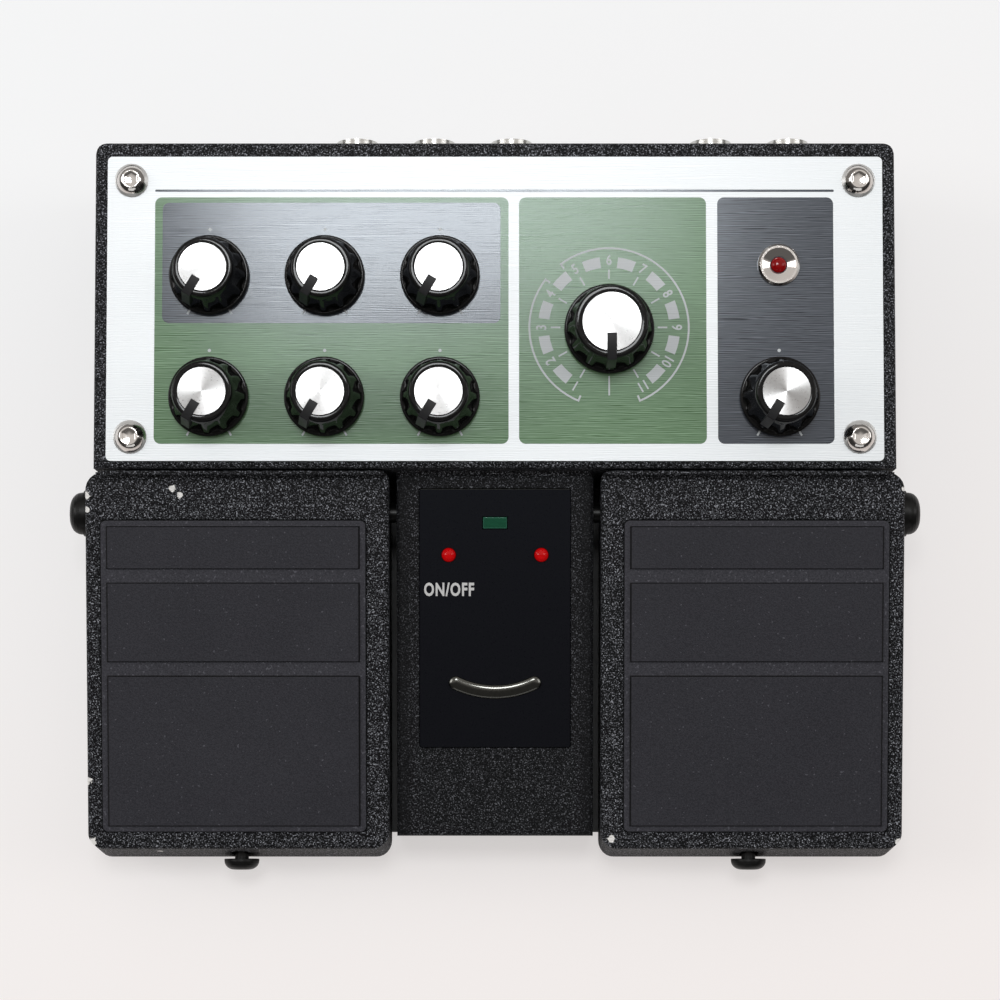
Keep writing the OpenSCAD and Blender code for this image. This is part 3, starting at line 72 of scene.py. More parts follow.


# Casting and foot pedals. The body and both pedals are die-cast metal, sprayed with a black texture paint.
# It has a pebbled skin with fine light flecks and sparse brighter specks that are painted glints, and is
# knocked through to the bare metal at a few corners.

class Tap:
    """One socket of a finish. Arithmetic on taps adds Math nodes to the finish's own tree."""

    def __init__(self, socket):
        self.socket = socket

    def node(self, kind, settings=None, inputs=None, output=0):
        """Adds any other node: its settings are made first, then its inputs are set or linked."""
        tree = self.socket.id_data
        made = tree.nodes.new("ShaderNode" + kind)
        for name, value in (settings or {}).items():
            setattr(made, name, value)
        for name, value in (inputs or {}).items():
            if isinstance(value, Tap):
                tree.links.new(value.socket, made.inputs[name])
            else:
                made.inputs[name].default_value = value
        return Tap(made.outputs[output])

    def math(self, operation, *values):
        """Adds a Math node that works on these values."""
        return self.node("Math", {"operation": operation}, dict(enumerate(values)))

    def __add__(self, other):
        return self.math("ADD", self, other)

    __radd__ = __add__

    def __sub__(self, other):
        return self.math("SUBTRACT", self, other)

    def __rsub__(self, other):
        return self.math("SUBTRACT", other, self)

    def __mul__(self, other):
        return self.math("MULTIPLY", self, other)

    __rmul__ = __mul__

    def __truediv__(self, other):
        return self.math("DIVIDE", self, other)

    def __rtruediv__(self, other):
        return self.math("DIVIDE", other, self)

    def __or__(self, other):
        return self.math("MAXIMUM", self, other)

    def along(self, direction):
        """How far a place lies along a direction."""
        ends = {0: self, 1: tuple(direction)}
        return self.node("VectorMath", {"operation": "DOT_PRODUCT"}, ends, "Value")

    def away(self, point):
        """The distance of a place from a point."""
        ends = {0: self, 1: tuple(point)}
        return self.node("VectorMath", {"operation": "DISTANCE"}, ends, "Value")


def grain(place, size, detail=2.0):
    """Noise around 0.5 with features of that size: one length, or one along each axis."""
    sizes = size if isinstance(size, tuple) else (size, size, size)
    per_metre = tuple(1 / s for s in sizes)
    cells = place.node("VectorMath", {"operation": "MULTIPLY"}, {0: place, 1: per_metre})
    return cells.node("TexNoise", None, {"Vector": cells, "Scale": 1.0, "Detail": detail})


def ease(value, low, high):
    """0 below low, 1 above high, smooth in between."""
    return value.node("MapRange", {"interpolation_type": "SMOOTHSTEP"},
                      {"Value": value, "From Min": low, "From Max": high})


def tint(mask, off, on):
    """The colour off where the mask is 0, and on where it is 1; a Mix node's colours are 6, 7 and 2."""
    return mask.node("Mix", {"data_type": "RGBA"}, {0: mask, 6: off, 7: on}, 2)


def rough_skin(height, depth, strength=1.0):
    """A surface normal that follows a height from 0 to 1, of that depth in metres."""
    return height.node("Bump", None, {"Height": height, "Distance": depth, "Strength": strength})


def grey(level, blue=1.0):
    """A grey of that level, cooler where blue is above 1."""
    return (level, level, level * blue, 1.0)


def finish(name, **fixed):
    """A new material with these fixed values on its shader, and the place on the object in metres."""
    material = bpy.data.materials.new(name)
    material.use_nodes = True
    shader = material.node_tree.nodes["Principled BSDF"]
    for socket, value in fixed.items():
        shader.inputs[socket.replace("_", " ")].default_value = value
    place = Tap(material.node_tree.nodes.new("ShaderNodeTexCoord").outputs["Object"])
    return material, place


def feed(material, **taps):
    """Links taps to the shader's sockets of these names."""
    shader = material.node_tree.nodes["Principled BSDF"]
    for socket, tap in taps.items():
        material.node_tree.links.new(tap.socket, shader.inputs[socket.replace("_", " ")])


def dress(material, *names):
    """Gives CAD nodes a material in all their slots."""
    for name in names:
        for held in nodes[name].material_slots:
            held.material = material


# Places of the knocks and their radii, in mm
KNOCKS = [
    (-67.94, 1.09, 35.0, 0.75), (-66.46, -0.22, 34.77, 0.65),
    (-86.1, -0.2, 34.4, 0.9), (-86.1, -3.2, 34.0, 0.7),
    (-86.2, -60.0, 23.6, 0.9), (-85.6, -73.0, 21.9, 1.0),
    (-71.6, -74.9, 17.6, 0.7), (24.6, -72.3, 22.0, 0.8),
    (85.6, -73.0, 21.9, 0.7), (86.1, 1.0, 34.6, 0.6),
]
# Painted shade: the console's light specks are dimmed, most of all near its edges beside the pedals
CONSOLE_HALF, CONSOLE_REAR = 21.3 * MM, 4.5 * MM
CONSOLE_PAINTED_SHADE, EDGE_PAINTED_SHADE = 0.62, 0.23

paint, place = finish("black_texture_paint", Specular_IOR_Level=0.1)
pebbles = grain(place, 0.44 * MM, 2.0)
flecks = ease(grain(place, 0.32 * MM, 1.0), 0.51, 0.66)
# Painted glints: sparse bright specks put into the paint's colour
painted_glints = ease(grain(place, 0.3 * MM, 0.0), 0.66, 0.74)
cloud = grain(place, 28 * MM, 2.0)
aside = place.along((1, 0, 0))
off_middle = aside.math("ABSOLUTE", aside)
off_console = (ease(off_middle, CONSOLE_HALF - MM, CONSOLE_HALF)
               | ease(place.along((0, 1, 0)), CONSOLE_REAR - MM, CONSOLE_REAR))
near_edge = ease(off_middle, CONSOLE_HALF - 4 * MM, CONSOLE_HALF - 2.4 * MM)
# Painted shade on the console, deepest near its edges: it dims the light specks there
painted_console_shade = (1 - off_console) * (CONSOLE_PAINTED_SHADE + EDGE_PAINTED_SHADE * near_edge)
ragged = (grain(place, 0.7 * MM) - 0.5) * 1.6
bare = flecks * 0.0
for x, y, z, radius in KNOCKS:
    reach = place.away((x * MM, y * MM, z * MM)) / (radius * MM) + ragged
    bare = bare | ease(1.6 - reach, 0.55, 0.75)
coat = tint((flecks * 0.22 + painted_glints * 0.78) * (1 - painted_console_shade) + cloud * 0.01,
            (0.0034, 0.0036, 0.0042, 1.0), (0.39, 0.405, 0.45, 1.0))
feed(paint,
     Base_Color=tint(bare, coat, (0.95, 0.94, 0.92, 1.0)),
     Metallic=bare * 0.15,
     Roughness=0.5 - flecks * 0.12 - bare * 0.1,
     Normal=rough_skin(pebbles * 0.7 + flecks * 0.3 - bare * 0.4, 0.17 * MM, 0.9))
dress(paint, "chassis", "pedal_left", "pedal_right")


# Base. A sheet-steel plate painted satin black closes the casting from below. Zinc-plated screws hold it to
# the casting's bosses, and four moulded rubber feet stand under its corners.

base_paint, place = finish("satin_black_sheet")
peel = grain(place, 0.9 * MM, 2.0)
scuffs = ease(grain(place, (0.4 * MM, 9 * MM, 9 * MM), 3.0), 0.62, 0.8)
feed(base_paint,
     Base_Color=tint(scuffs * 0.5, grey(0.016, 1.05), grey(0.075)),
     Roughness=0.38 + peel * 0.14 + scuffs * 0.2,
     Normal=rough_skin(peel, 0.03 * MM, 0.6))
dress(base_paint, "bottom_plate")


def plating(name, level, roughness, brushed, warmth=1.0):
    """Bright or satin metal plating with faint wiping marks along the brushed sizes."""
    material, place = finish(name, Metallic=1.0)
    metal = (level, level * (1 + warmth) / 2, level * warmth, 1.0)
    marks = grain(place, brushed, 3.0)
    smoke = grain(place, 3.5 * MM, 2.0)
    feed(material,
         Base_Color=tint(smoke * 0.5 + marks * 0.3, tuple(0.84 * c for c in metal), metal),
         Roughness=roughness + marks * 0.12,
         Normal=rough_skin(marks, 0.01 * MM, 0.3))
    return material


zinc = plating("satin_zinc", 0.62, 0.3, (0.25 * MM, 1.6 * MM, 0.25 * MM))
dress(zinc, "bottom_screws", "board_screws", "bushing_nuts", "jack_washers")


def moulding(name, colour, lighter, roughness, skin, **fixed):
    """Moulded plastic or rubber: a fine skin of that feature size, and lighter dust in it."""
    material, place = finish(name, **fixed)
    pores = grain(place, skin, 2.0)
    dust = ease(grain(place, skin * 9, 4.0), 0.55, 0.85)
    feed(material,
         Base_Color=tint(dust * 0.6 + pores * 0.2, colour, lighter),
         Roughness=roughness + pores * 0.1 + dust * 0.1,
         Normal=rough_skin(pores, 0.02 * MM, 0.5))
    return material


dress(moulding("foot_rubber_moulded", grey(0.012), grey(0.05), 0.72, 0.3 * MM), "rubber_feet")


# Inside. Green circuit boards, stamped potentiometer and switch cans, and moulded foot switches with white
# plungers. They are screwed or nutted to the casting and only show through gaps.

board, place = finish("green_board", Roughness=0.4)
traces = ease(grain(place, (1.2 * MM, 6 * MM, 6 * MM), 0.0), 0.5, 0.54)
weave = grain(place, 0.4 * MM, 1.0)
feed(board,
     Base_Color=tint(traces * 0.6 + weave * 0.3, (0.012, 0.07, 0.03, 1.0), (0.04, 0.2, 0.08, 1.0)),
     Normal=rough_skin(traces + weave * 0.2, 0.03 * MM, 0.5))
dress(board, "panel_board", "main_board", "lamp_board")
can = plating("stamped_steel", 0.5, 0.34, (0.3 * MM, 2.2 * MM, 2.2 * MM))
dress(can, "pot_bodies", "mode_switch")
dress(moulding("switch_housing", grey(0.03), grey(0.09), 0.45, 0.35 * MM), "foot_switches")
white_plastic = moulding("white_plunger", (0.62, 0.62, 0.58, 1.0), grey(0.78), 0.4, 0.3 * MM)
dress(white_plastic, "plunger_left", "plunger_right")


# Springs. A coil of drawn steel wire stands on the tray under each pedal, with its top against a seat
# inside the pedal. It would shorten as the pedal goes down, but is drawn at its rest length.

def piece(name, mesh, body, material):
    """A new piece of the object that moves with a body."""
    made = bpy.data.objects.new(name, mesh)
    bpy.context.scene.collection.objects.link(made)
    mesh.materials.clear()
    mesh.materials.append(material)
    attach(made, body)
    return made


def weld(mesh):
    """Joins the points of a mesh that lie in one place, so that it is closed."""
    form = bmesh.new()
    form.from_mesh(mesh)
    bmesh.ops.remove_doubles(form, verts=form.verts, dist=0.0005 * MM)
    form.to_mesh(mesh)
    form.free()
    return mesh


wire = plating("drawn_wire", 0.5, 0.32, (0.15 * MM, 0.15 * MM, 1.2 * MM))
for side in ("left", "right"):
    press = joints[side + "_pedal_press"]
    low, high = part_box("spring_" + side)
    foot = ((low.x + high.x) / 2, (low.y + high.y) / 2, low.z)
    sinks = (press["pos_m"][1] - foot[1]) * math.sin(math.radians(press["range_deg"][1]))
    coil_mesh = weld(nodes["spring_" + side].data.copy())
    coil = piece(f"spring_{side}_coil", coil_mesh, "body", wire)
    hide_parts("spring_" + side)
    1 - sinks / (high.z - low.z)
    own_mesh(coil)


# Rear wall. Five plug jacks with plated bushes on black bodies, each held by a washer and a bright hex nut,
# and a flush moulded power inlet with a centre pin.

nickel = plating("bright_nickel", 0.9, 0.03, (0.2 * MM, 0.9 * MM, 0.2 * MM), warmth=0.93)
dress(nickel, "jack_nuts")
dress(moulding("inlet_moulding", grey(0.012, 1.05), grey(0.05), 0.28, 0.4 * MM), "power_inlet")

WALL_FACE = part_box("jack_washers")[0].y
jack, place = finish("plated_jack")
turned = grain(place, (3 * MM, 0.3 * MM, 3 * MM), 2.0)
bush = ease(place.along((0, 1, 0)), WALL_FACE - 0.2 * MM, WALL_FACE)
feed(jack,
     Base_Color=tint(bush,
                     tint(turned, grey(0.01), grey(0.03)),
                     tint(turned, grey(0.6, 0.97), grey(0.82, 0.97))),
     Metallic=bush,
     Roughness=0.36 + turned * 0.1 - bush * 0.2,
     Normal=rough_skin(turned, 0.02 * MM, 0.4))
dress(jack, "jack_bodies")


# Control plate. A sheet of bare aluminium, brushed from side to side, lies in the deck's recess and is
# screwed down at its corners.

def brushing(place, pitch):
    """Fine lines from side to side, about that far apart, that come and go along their length."""
    waver = grain(place, (20 * MM, 1.3 * MM, 90 * MM), 1.0)
    stroke = place.along((0, 2 * math.pi / pitch, 0)) + waver * 16
    dashes = ease(grain(place, (4.5 * MM, 0.45 * MM, 90 * MM), 1.0), 0.32, 0.68)
    return 0.5 + stroke.math("SINE", stroke) * dashes * 0.5


plate_metal, place = finish("brushed_aluminium", Metallic=1.0)
brush = brushing(place, 0.5 * MM)
feed(plate_metal,
     Base_Color=tint(brush, (0.62, 0.645, 0.66, 1.0), (0.9, 0.925, 0.94, 1.0)),
     Roughness=0.46 + brush * 0.16,
     Normal=rough_skin(brush, 0.012 * MM, 0.5))
dress(plate_metal, "control_plate")


# Print on the plate. Colour fields, rule and dial marks are screened on as thin ink, and the brushing shows
# through. The selector has its step numbers; each other dial has two end ticks and a dot.

PLATE_UP = Vector(joints["mode_turn"]["axis"])
PLATE_FORWARD = Vector((1, 0, 0)).cross(PLATE_UP)
MODE_PLACE = Vector(joints["mode_turn"]["pos_m"])
MODE_V = 39.7


def plate_point(x, v, h=0.0):
    """A point on the plate in mm: x from the centre plane, v forward from the deck's rear edge, h above."""
    return (MODE_PLACE + Vector((x * MM - MODE_PLACE.x, 0, 0))
            + PLATE_FORWARD * (v - MODE_V) * MM + PLATE_UP * h * MM)


def film(shapes, low, high, point):
    """A mesh of flat prisms. Each shape is a loop of (x, v) places; low and high are its heights."""
    form = bmesh.new()
    for loop in shapes:
        under = [form.verts.new(point(x, v, low)) for x, v in loop]
        over = [form.verts.new(point(x, v, high)) for x, v in loop]
        form.faces.new(over)
        form.faces.new(under[::-1])
        count = len(loop)
        for i in range(count):
            j = (i + 1) % count
            form.faces.new((under[i], under[j], over[j], over[i]))
    bmesh.ops.recalc_face_normals(form, faces=form.faces)
    mesh = bpy.data.meshes.new("film")
    form.to_mesh(mesh)
    form.free()
    return mesh


def panel(x0, x1, v0, v1, radius, steps=6):
    """The loop of a rectangle with round corners."""
    loop = []
    for cx, cv, start in ((x1 - radius, v0 + radius, -90), (x1 - radius, v1 - radius, 0),
                          (x0 + radius, v1 - radius, 90), (x0 + radius, v0 + radius, 180)):
        for i in range(steps + 1):
            a = math.radians(start + 90 * i / steps)
            loop.append((cx + radius * math.cos(a), cv + radius * math.sin(a)))
    return loop


def ink(name, dark, light, roughness, sheen):
    """Printed ink over brushed metal: the brushing shows as fine lines from side to side."""
    material, place = finish(name, Specular_IOR_Level=sheen, Specular_Tint=(0.9, 0.95, 1.0, 1.0))
    lines = brushing(place, 0.4 * MM)
    feed(material,
         Base_Color=tint(lines, dark, light),
         Roughness=roughness + lines * 0.12,
         Normal=rough_skin(lines, 0.006 * MM, 0.5))
    return material


green_ink = ink("sage_green_ink", (0.06, 0.135, 0.05, 1.0), (0.26, 0.42, 0.25, 1.0), 0.12, 0.34)
slate_ink = ink("slate_ink", (0.014, 0.018, 0.024, 1.0), (0.115, 0.127, 0.155, 1.0), 0.1, 0.6)
white_ink = ink("silver_white_ink", (0.52, 0.55, 0.56, 1.0), (0.68, 0.71, 0.73, 1.0), 0.4, 0.5)
FIELD_R = 1.4
FIELD_V = (11.8, 63.7)
FIELD_FOOT, FIELD_TOP, FIELD_OVER = -0.01, 0.02, 0.04
MARK_FOOT, MARK_TOP, NUMBER_H = 0.01, 0.06, 0.04

green_fields = film([panel(-71.35, 2.85, *FIELD_V, FIELD_R), panel(5.05, 44.3, *FIELD_V, FIELD_R)],
                    FIELD_FOOT, FIELD_TOP, plate_point)
piece("green_fields", green_fields, "body", green_ink)
slate_right = film([panel(46.65, 71.0, *FIELD_V, FIELD_R)], FIELD_FOOT, FIELD_TOP, plate_point)
piece("slate_field_right", slate_right, "body", slate_ink)
slate_left = film([panel(-69.75, 1.15, 12.95, 38.35, FIELD_R)], FIELD_FOOT, FIELD_OVER, plate_point)
piece("slate_field_left", slate_left, "body", slate_ink)
rule = film([panel(-71.35, 71.15, 10.15, 10.65, 0.2)], FIELD_FOOT, FIELD_TOP, plate_point)
piece("plate_rule", rule, "body", slate_ink)


def polar(centre, radius, degrees):
    """A place round a dial; 0 degrees points at the player and turns go clockwise seen from above."""
    a = math.radians(degrees)
    return centre[0] - radius * math.sin(a), centre[1] + radius * math.cos(a)


def spoke(centre, r0, r1, degrees, width):
    """A straight mark that points at a dial's axis."""
    a = math.radians(degrees)
    along = Vector((-math.sin(a), math.cos(a)))
    side = Vector((along.y, -along.x)) * width / 2
    middle = Vector(centre)
    return [tuple(middle + along * r + side * s) for r, s in ((r0, 1), (r1, 1), (r1, -1), (r0, -1))]


def arc(centre, r0, r1, from_degrees, to_degrees):
    """A curved band round a dial."""
    steps = max(3, round(abs(to_degrees - from_degrees) / 5))
    turn = [from_degrees + (to_degrees - from_degrees) * i / steps for i in range(steps + 1)]
    return [polar(centre, r1, d) for d in turn] + [polar(centre, r0, d) for d in turn[::-1]]


def dot(centre, radius, steps=20):
    """The loop of a round mark or hole."""
    return [polar(centre, radius, 360 * i / steps) for i in range(steps)]


MODE_CENTRE = (MODE_PLACE.x / MM, MODE_V - 0.45)
STEP = 30
STEPS = range(1, 12)
NUMBER_R, NUMBER_SIZE = 14.1, 3.0
BLOCK_R, BLOCK_HALF = (12.6, 14.9), 7.5
TICK_R, TICK_W, ZERO_TICK_R = (10.2, 12.2), 0.35, 14.3
BRACKET_R, BRACKET_PAST = (16.5, 16.9), 8
HOOK_R, HOOK_W, HOOK_IN = (15.5, 16.6), 0.4, 0.7
marks = [spoke(MODE_CENTRE, *TICK_R, n * STEP, TICK_W) for n in STEPS]
marks.append(spoke(MODE_CENTRE, TICK_R[0], ZERO_TICK_R, 0, TICK_W))
for n in STEPS[:-1]:
    middle = (n + 0.5) * STEP
    marks.append(arc(MODE_CENTRE, *BLOCK_R, middle - BLOCK_HALF, middle + BLOCK_HALF))
for first, last in ((1, 4), (5, 11)):
    start, end = first * STEP - BRACKET_PAST, last * STEP + BRACKET_PAST
    marks.append(arc(MODE_CENTRE, *BRACKET_R, start, end))
    marks += [spoke(MODE_CENTRE, *HOOK_R, d, HOOK_W) for d in (start + HOOK_IN, end - HOOK_IN)]
END_TICK_R, END_TICK_W, END_TURN = (8.3, 9.3), 0.4, 30
DOT_AT, DOT_R = 9.8, 0.35
SMALL_DIALS = ("bass", "treble", "reverb", "rate", "intensity", "echo", "input")
for name in SMALL_DIALS:
    at = Vector(joints[name + "_turn"]["pos_m"])
    centre = (at.x / MM, MODE_V + (at - MODE_PLACE).dot(PLATE_FORWARD) / MM)
    marks += [spoke(centre, *END_TICK_R, d, END_TICK_W) for d in (-END_TURN, END_TURN)]
    marks.append(dot(polar(centre, DOT_AT, 180), DOT_R))
piece("dial_marks", film(marks, MARK_FOOT, MARK_TOP, plate_point), "body", white_ink)


def lettering(name, words, size, to_place, narrow=0.82, weight=0.02, spread=1.0):
    """Flat printed characters as a thin closed mesh; to_place puts them on the object."""
    curve = bpy.data.curves.new(name, "FONT")
    curve.body = words
    curve.size = size * MM
    curve.align_x = curve.align_y = "CENTER"
    curve.offset = weight * size * MM
    curve.space_character = spread
    curve.extrude = 0.012 * MM
    curve.resolution_u = 3
    holder = bpy.data.objects.new(name, curve)
    bpy.context.scene.collection.objects.link(holder)
    bpy.context.view_layer.update()
    mesh = bpy.data.meshes.new_from_object(holder.evaluated_get(bpy.context.evaluated_depsgraph_get()))
    bpy.data.objects.remove(holder)
    mesh.transform(to_place @ Matrix.Diagonal((narrow, 1, 1, 1)))
    return weld(mesh)


def upright(origin, across, up):
    """The matrix that stands flat characters on a surface, reading along across."""
    back = up.cross(across)
    turned = Matrix((across, back, up)).transposed().to_4x4()
    return Matrix.Translation(origin) @ turned


for number in STEPS:
    name = f"mode_number_{number}"
    swing = math.radians(180 - number * STEP)
    across = Vector((1, 0, 0)) * math.cos(swing) + PLATE_FORWARD * -math.sin(swing)
    stand = upright(plate_point(*polar(MODE_CENTRE, NUMBER_R, number * STEP), NUMBER_H), across, PLATE_UP)
    piece(name, lettering(name, str(number), NUMBER_SIZE, stand), "body", white_ink)


# Knobs. Each is moulded in black plastic with twelve arched flutes over a plain ring, a satin pointer bar,
# and a spun aluminium disc let into its top. It pushes onto the flat of a 6 mm steel shaft.

knob_black, place = finish("black_knob_moulding", Specular_IOR_Level=0.0, Coat_Roughness=0.06)
flow = grain(place, 1.6 * MM, 3.0)
lint = ease(grain(place, 0.45 * MM, 1.0), 0.72, 0.8)
feed(knob_black,
     Base_Color=tint(lint * 0.4 + flow * 0.1, grey(0.003, 1.05), grey(0.07)),
     Coat_Weight=0.45 - lint * 0.3,
     Normal=rough_skin(flow, 0.015 * MM, 0.3))
pointer_black, place = finish("satin_pointer", Specular_IOR_Level=0.3)
flow = grain(place, 0.3 * MM, 3.0)
feed(pointer_black,
     Base_Color=tint(flow, grey(0.006, 1.1), grey(0.02, 1.1)),
     Roughness=0.34 + flow * 0.2,
     Normal=rough_skin(flow, 0.015 * MM, 0.4))
spun_disc, place = finish("spun_aluminium", Metallic=1.0, Anisotropic=0.85)
rings = grain(place, 0.5 * MM, 4.0)
feed(spun_disc, Base_Color=tint(rings, grey(0.46), grey(0.6)), Roughness=0.24 + rings * 0.1)

FLUTES = 12
FLUTE_R, FLUTE_DEPTH = 2.2, 0.6
FLUTE_HALF = math.sqrt(FLUTE_R ** 2 - (FLUTE_R - FLUTE_DEPTH) ** 2)
FLUTE_FROM_TOP = 2.0
FLUTE_COLUMNS = (-1.06, -0.95, -0.75, -0.5, -0.25, 0.0, 0.25, 0.5, 0.75, 0.95, 1.06)
RIDGE_COLUMNS = (0.3, 0.7)
RING_H, RING_STEP = 1.5, 0.45
HOLLOW_R, HOLLOW_H = 6.17, 2.6
BORE_R, BORE_TOP = 3.05, 9.0
CAP_RECESS = 0.5
KNOB_LIFT = 0.6
POINTER_W, POINTER_START, POINTER_RISE = 1.9, 2.4, 0.4


def flute_width(above):
    """Half the width of a flute at a height above the start of its arch."""
    return math.sqrt(max(FLUTE_HALF ** 2 - max(above, 0.0) ** 2, 0.0))


def flute_cut(aside, above):
    """How deep a flute cuts at a distance from its middle, at a height above the start of its arch."""
    left = FLUTE_R ** 2 - aside ** 2 - max(above, 0.0) ** 2
    return max(0.0, math.sqrt(max(left, 0.0)) - (FLUTE_R - FLUTE_DEPTH))


def knob_rows(foot_r, top_r, cap_r, height):
    """Rings of a knob from its bore round to the cap's recess: radius, height and share of the flutes."""
    side_r = foot_r - RING_STEP
    arch = height - FLUTE_FROM_TOP - FLUTE_HALF

    def side(z):
        return side_r + (top_r - side_r) * (z - RING_H) / (height - RING_H)

    rows = [(0.0, BORE_TOP, 0), (BORE_R, BORE_TOP, 0), (BORE_R, HOLLOW_H, 0), (HOLLOW_R, HOLLOW_H, 0),
            (HOLLOW_R, 0.0, 0), (foot_r - 0.25, 0.0, 0), (foot_r - 0.07, 0.07, 0), (foot_r, 0.25, 0),
            (foot_r, RING_H - 0.3, 0), (foot_r - 0.08, RING_H - 0.08, 0), (foot_r - 0.3, RING_H, 0),
            (side_r + 0.02, RING_H, 0)]
    starts = ((RING_H + 0.04, 0), (RING_H + 0.12, 0.8), (RING_H + 0.25, 1))
    rows += [(side(z), z, share) for z, share in starts]
    rows += [(side(z), z, 1) for z in (RING_H + 1, (RING_H + arch) / 2, arch - 1, arch)]
    arched = [arch + FLUTE_HALF * math.sin(math.radians(15 * i)) for i in range(1, 7)]
    rows += [(side(z), z, 1) for z in arched]
    rows += [(side(z), z, 0) for z in (height - 1.6, height - 0.9)]
    rows += [(top_r - 0.02, height - 0.4, 0), (top_r - 0.09, height - 0.16, 0),
             (top_r - 0.22, height - 0.04, 0), (top_r - 0.4, height, 0),
             (cap_r + 0.24, height, 0), (cap_r + 0.12, height - 0.03, 0), (cap_r + 0.06, height - 0.12, 0),
             (cap_r + 0.05, height - CAP_RECESS, 0), (0.0, height - CAP_RECESS, 0)]
    return rows, arch


def knob_turns(r, above):
    """The turns of a ring's points in degrees, with the depth of the flute at each."""
    pitch = 360 / FLUTES
    width = max(flute_width(above), 0.25 * FLUTE_HALF)
    turns = []
    for flute in range(FLUTES):
        middle = (flute + 0.5) * pitch
        for column in FLUTE_COLUMNS:
            aside = column * width
            turns.append((middle + math.degrees(math.asin(aside / r)), flute_cut(aside, above)))
        edge = middle + math.degrees(math.asin(FLUTE_COLUMNS[-1] * width / r))
        gap = pitch - 2 * (edge - middle)
        turns += [(edge + gap * share, 0.0) for share in RIDGE_COLUMNS]
    return turns


def skin(form, loops):
    """Joins rings of points with faces, from the first to the last; a ring of one point is a tip."""
    for low, high in zip(loops, loops[1:]):
        count = max(len(low), len(high))
        for i in range(count):
            j = (i + 1) % count
            corners = [low[i % len(low)], low[j % len(low)], high[j % len(high)], high[i % len(high)]]
            form.faces.new(list(dict.fromkeys(corners)))


def closed_mesh(form, name):
    """The finished mesh of a closed form, smooth but for its sharp edges."""
    bmesh.ops.recalc_face_normals(form, faces=form.faces)
    mesh = bpy.data.meshes.new(name)
    form.to_mesh(mesh)
    form.free()
    mesh.shade_smooth()
    mesh.set_sharp_from_angle(angle=math.radians(42))
    return mesh


def knob_mesh(foot_r, top_r, cap_r, height, on_dial):
    """The moulded knob as one closed skin."""
    form = bmesh.new()
    rows, arch = knob_rows(foot_r, top_r, cap_r, height)
    loops = []
    for r, z, share in rows:
        if r == 0:
            loops.append([form.verts.new(on_dial(0, 0, z))])
            continue
        loops.append([form.verts.new(on_dial(r - share * cut, d, z))
                      for d, cut in knob_turns(r, z - arch)])
    skin(form, loops)
    return closed_mesh(form, "knob")


def pointer_mesh(foot_r, top_r, height, on_dial):
    """The pointer bar as one closed skin, let into the knob's top and side."""
    side_r = foot_r - RING_STEP
    top = height + POINTER_RISE
    bar_end = top_r + RING_STEP
    outline = [(POINTER_START, height - CAP_RECESS - 0.3), (POINTER_START, top - 0.1),
               (POINTER_START + 0.1, top), (bar_end - 0.25, top), (bar_end - 0.05, top - 0.12),
               (side_r - 0.05, height * 0.55), (side_r - 0.15, height * 0.5), (side_r - 0.9, height * 0.5)]
    form = bmesh.new()
    faces = []
    for aside in (-POINTER_W / 2, POINTER_W / 2):
        faces.append([])
        for r, z in outline:
            turn = math.degrees(math.atan2(aside, r))
            faces[-1].append(form.verts.new(on_dial(math.hypot(r, aside), turn, z)))
    form.faces.new(faces[0])
    form.faces.new(faces[1][::-1])
    for i in range(len(outline)):
        j = (i + 1) % len(outline)
        form.faces.new((faces[0][i], faces[0][j], faces[1][j], faces[1][i]))
    return closed_mesh(form, "pointer")


def dial_place(foot, rest):
    """A function that places a point on a dial: radius, degrees from the pointer, and height in mm."""
    def on_dial(r, degrees, h):
        x, v = polar((0, 0), r, degrees + rest)
        return foot + (Vector((1, 0, 0)) * x + PLATE_FORWARD * v + PLATE_UP * h) * MM
    return on_dial


# Radius at the foot, at the top and of the disc, height, and the turn at rest
SMALL_KNOB = (16.7 / 2, 12.3 / 2, 9.8 / 2, 12.9, 31)
MODE_KNOB = (18.8 / 2, 15.0 / 2, 12.0 / 2, 13.7, 0)
for name in SMALL_DIALS + ("mode",):
    foot_r, top_r, cap_r, height, rest = MODE_KNOB if name == "mode" else SMALL_KNOB
    foot = Vector(joints[name + "_turn"]["pos_m"]) + PLATE_UP * KNOB_LIFT * MM
    on_dial = dial_place(foot, rest)
    dial = name + "_dial"
    knob = knob_mesh(foot_r, top_r, cap_r, height, on_dial)
    pointer = pointer_mesh(foot_r, top_r, height, on_dial)
    moulded = piece(name + "_knob_moulded", knob, dial, knob_black)
    piece(name + "_pointer", pointer, dial, pointer_black)
    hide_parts(name + "_knob")
    dress(spun_disc, name + "_cap")
    dress(zinc, name + "_shaft")


# Plate screws. Button-head screws with a hexagon socket, turned and nickel plated, go through the plate's
# corners into bosses of the casting.

SCREW_X, SCREW_VS = 76.3, (8.25, 62.22)
SOCKET_R, SOCKET_TOP, SOCKET_FLOOR, SOCKET_TIP = 1.45, 2.12, 1.0, 0.8
# Radius and height of each ring from the shank's end up to the socket's edge
SCREW_ROWS = [(2.0, -9.0), (2.0, 0.0), (3.38, 0.0), (3.5, 0.12), (3.5, 0.36), (3.42, 0.5), (3.12, 0.94),
              (2.74, 1.42), (2.34, 1.83), (1.98, 2.12), (1.88, 2.19), (1.8, 2.2), (1.52, 2.2)]
SCREW_TURNS = [7.5 * i for i in range(48)]


def hexagon_r(degrees):
    """The radius of the hexagon socket in a direction."""
    return SOCKET_R * math.cos(math.radians(30)) / math.cos(math.radians(degrees % 60 - 30))


def screw_ring(form, axis, radii, height):
    """A ring of points round a screw's axis, with a radius for each turn."""
    places = [polar(axis, r, turn) for r, turn in zip(radii, SCREW_TURNS)]
    return [form.verts.new(plate_point(*place, height)) for place in places]


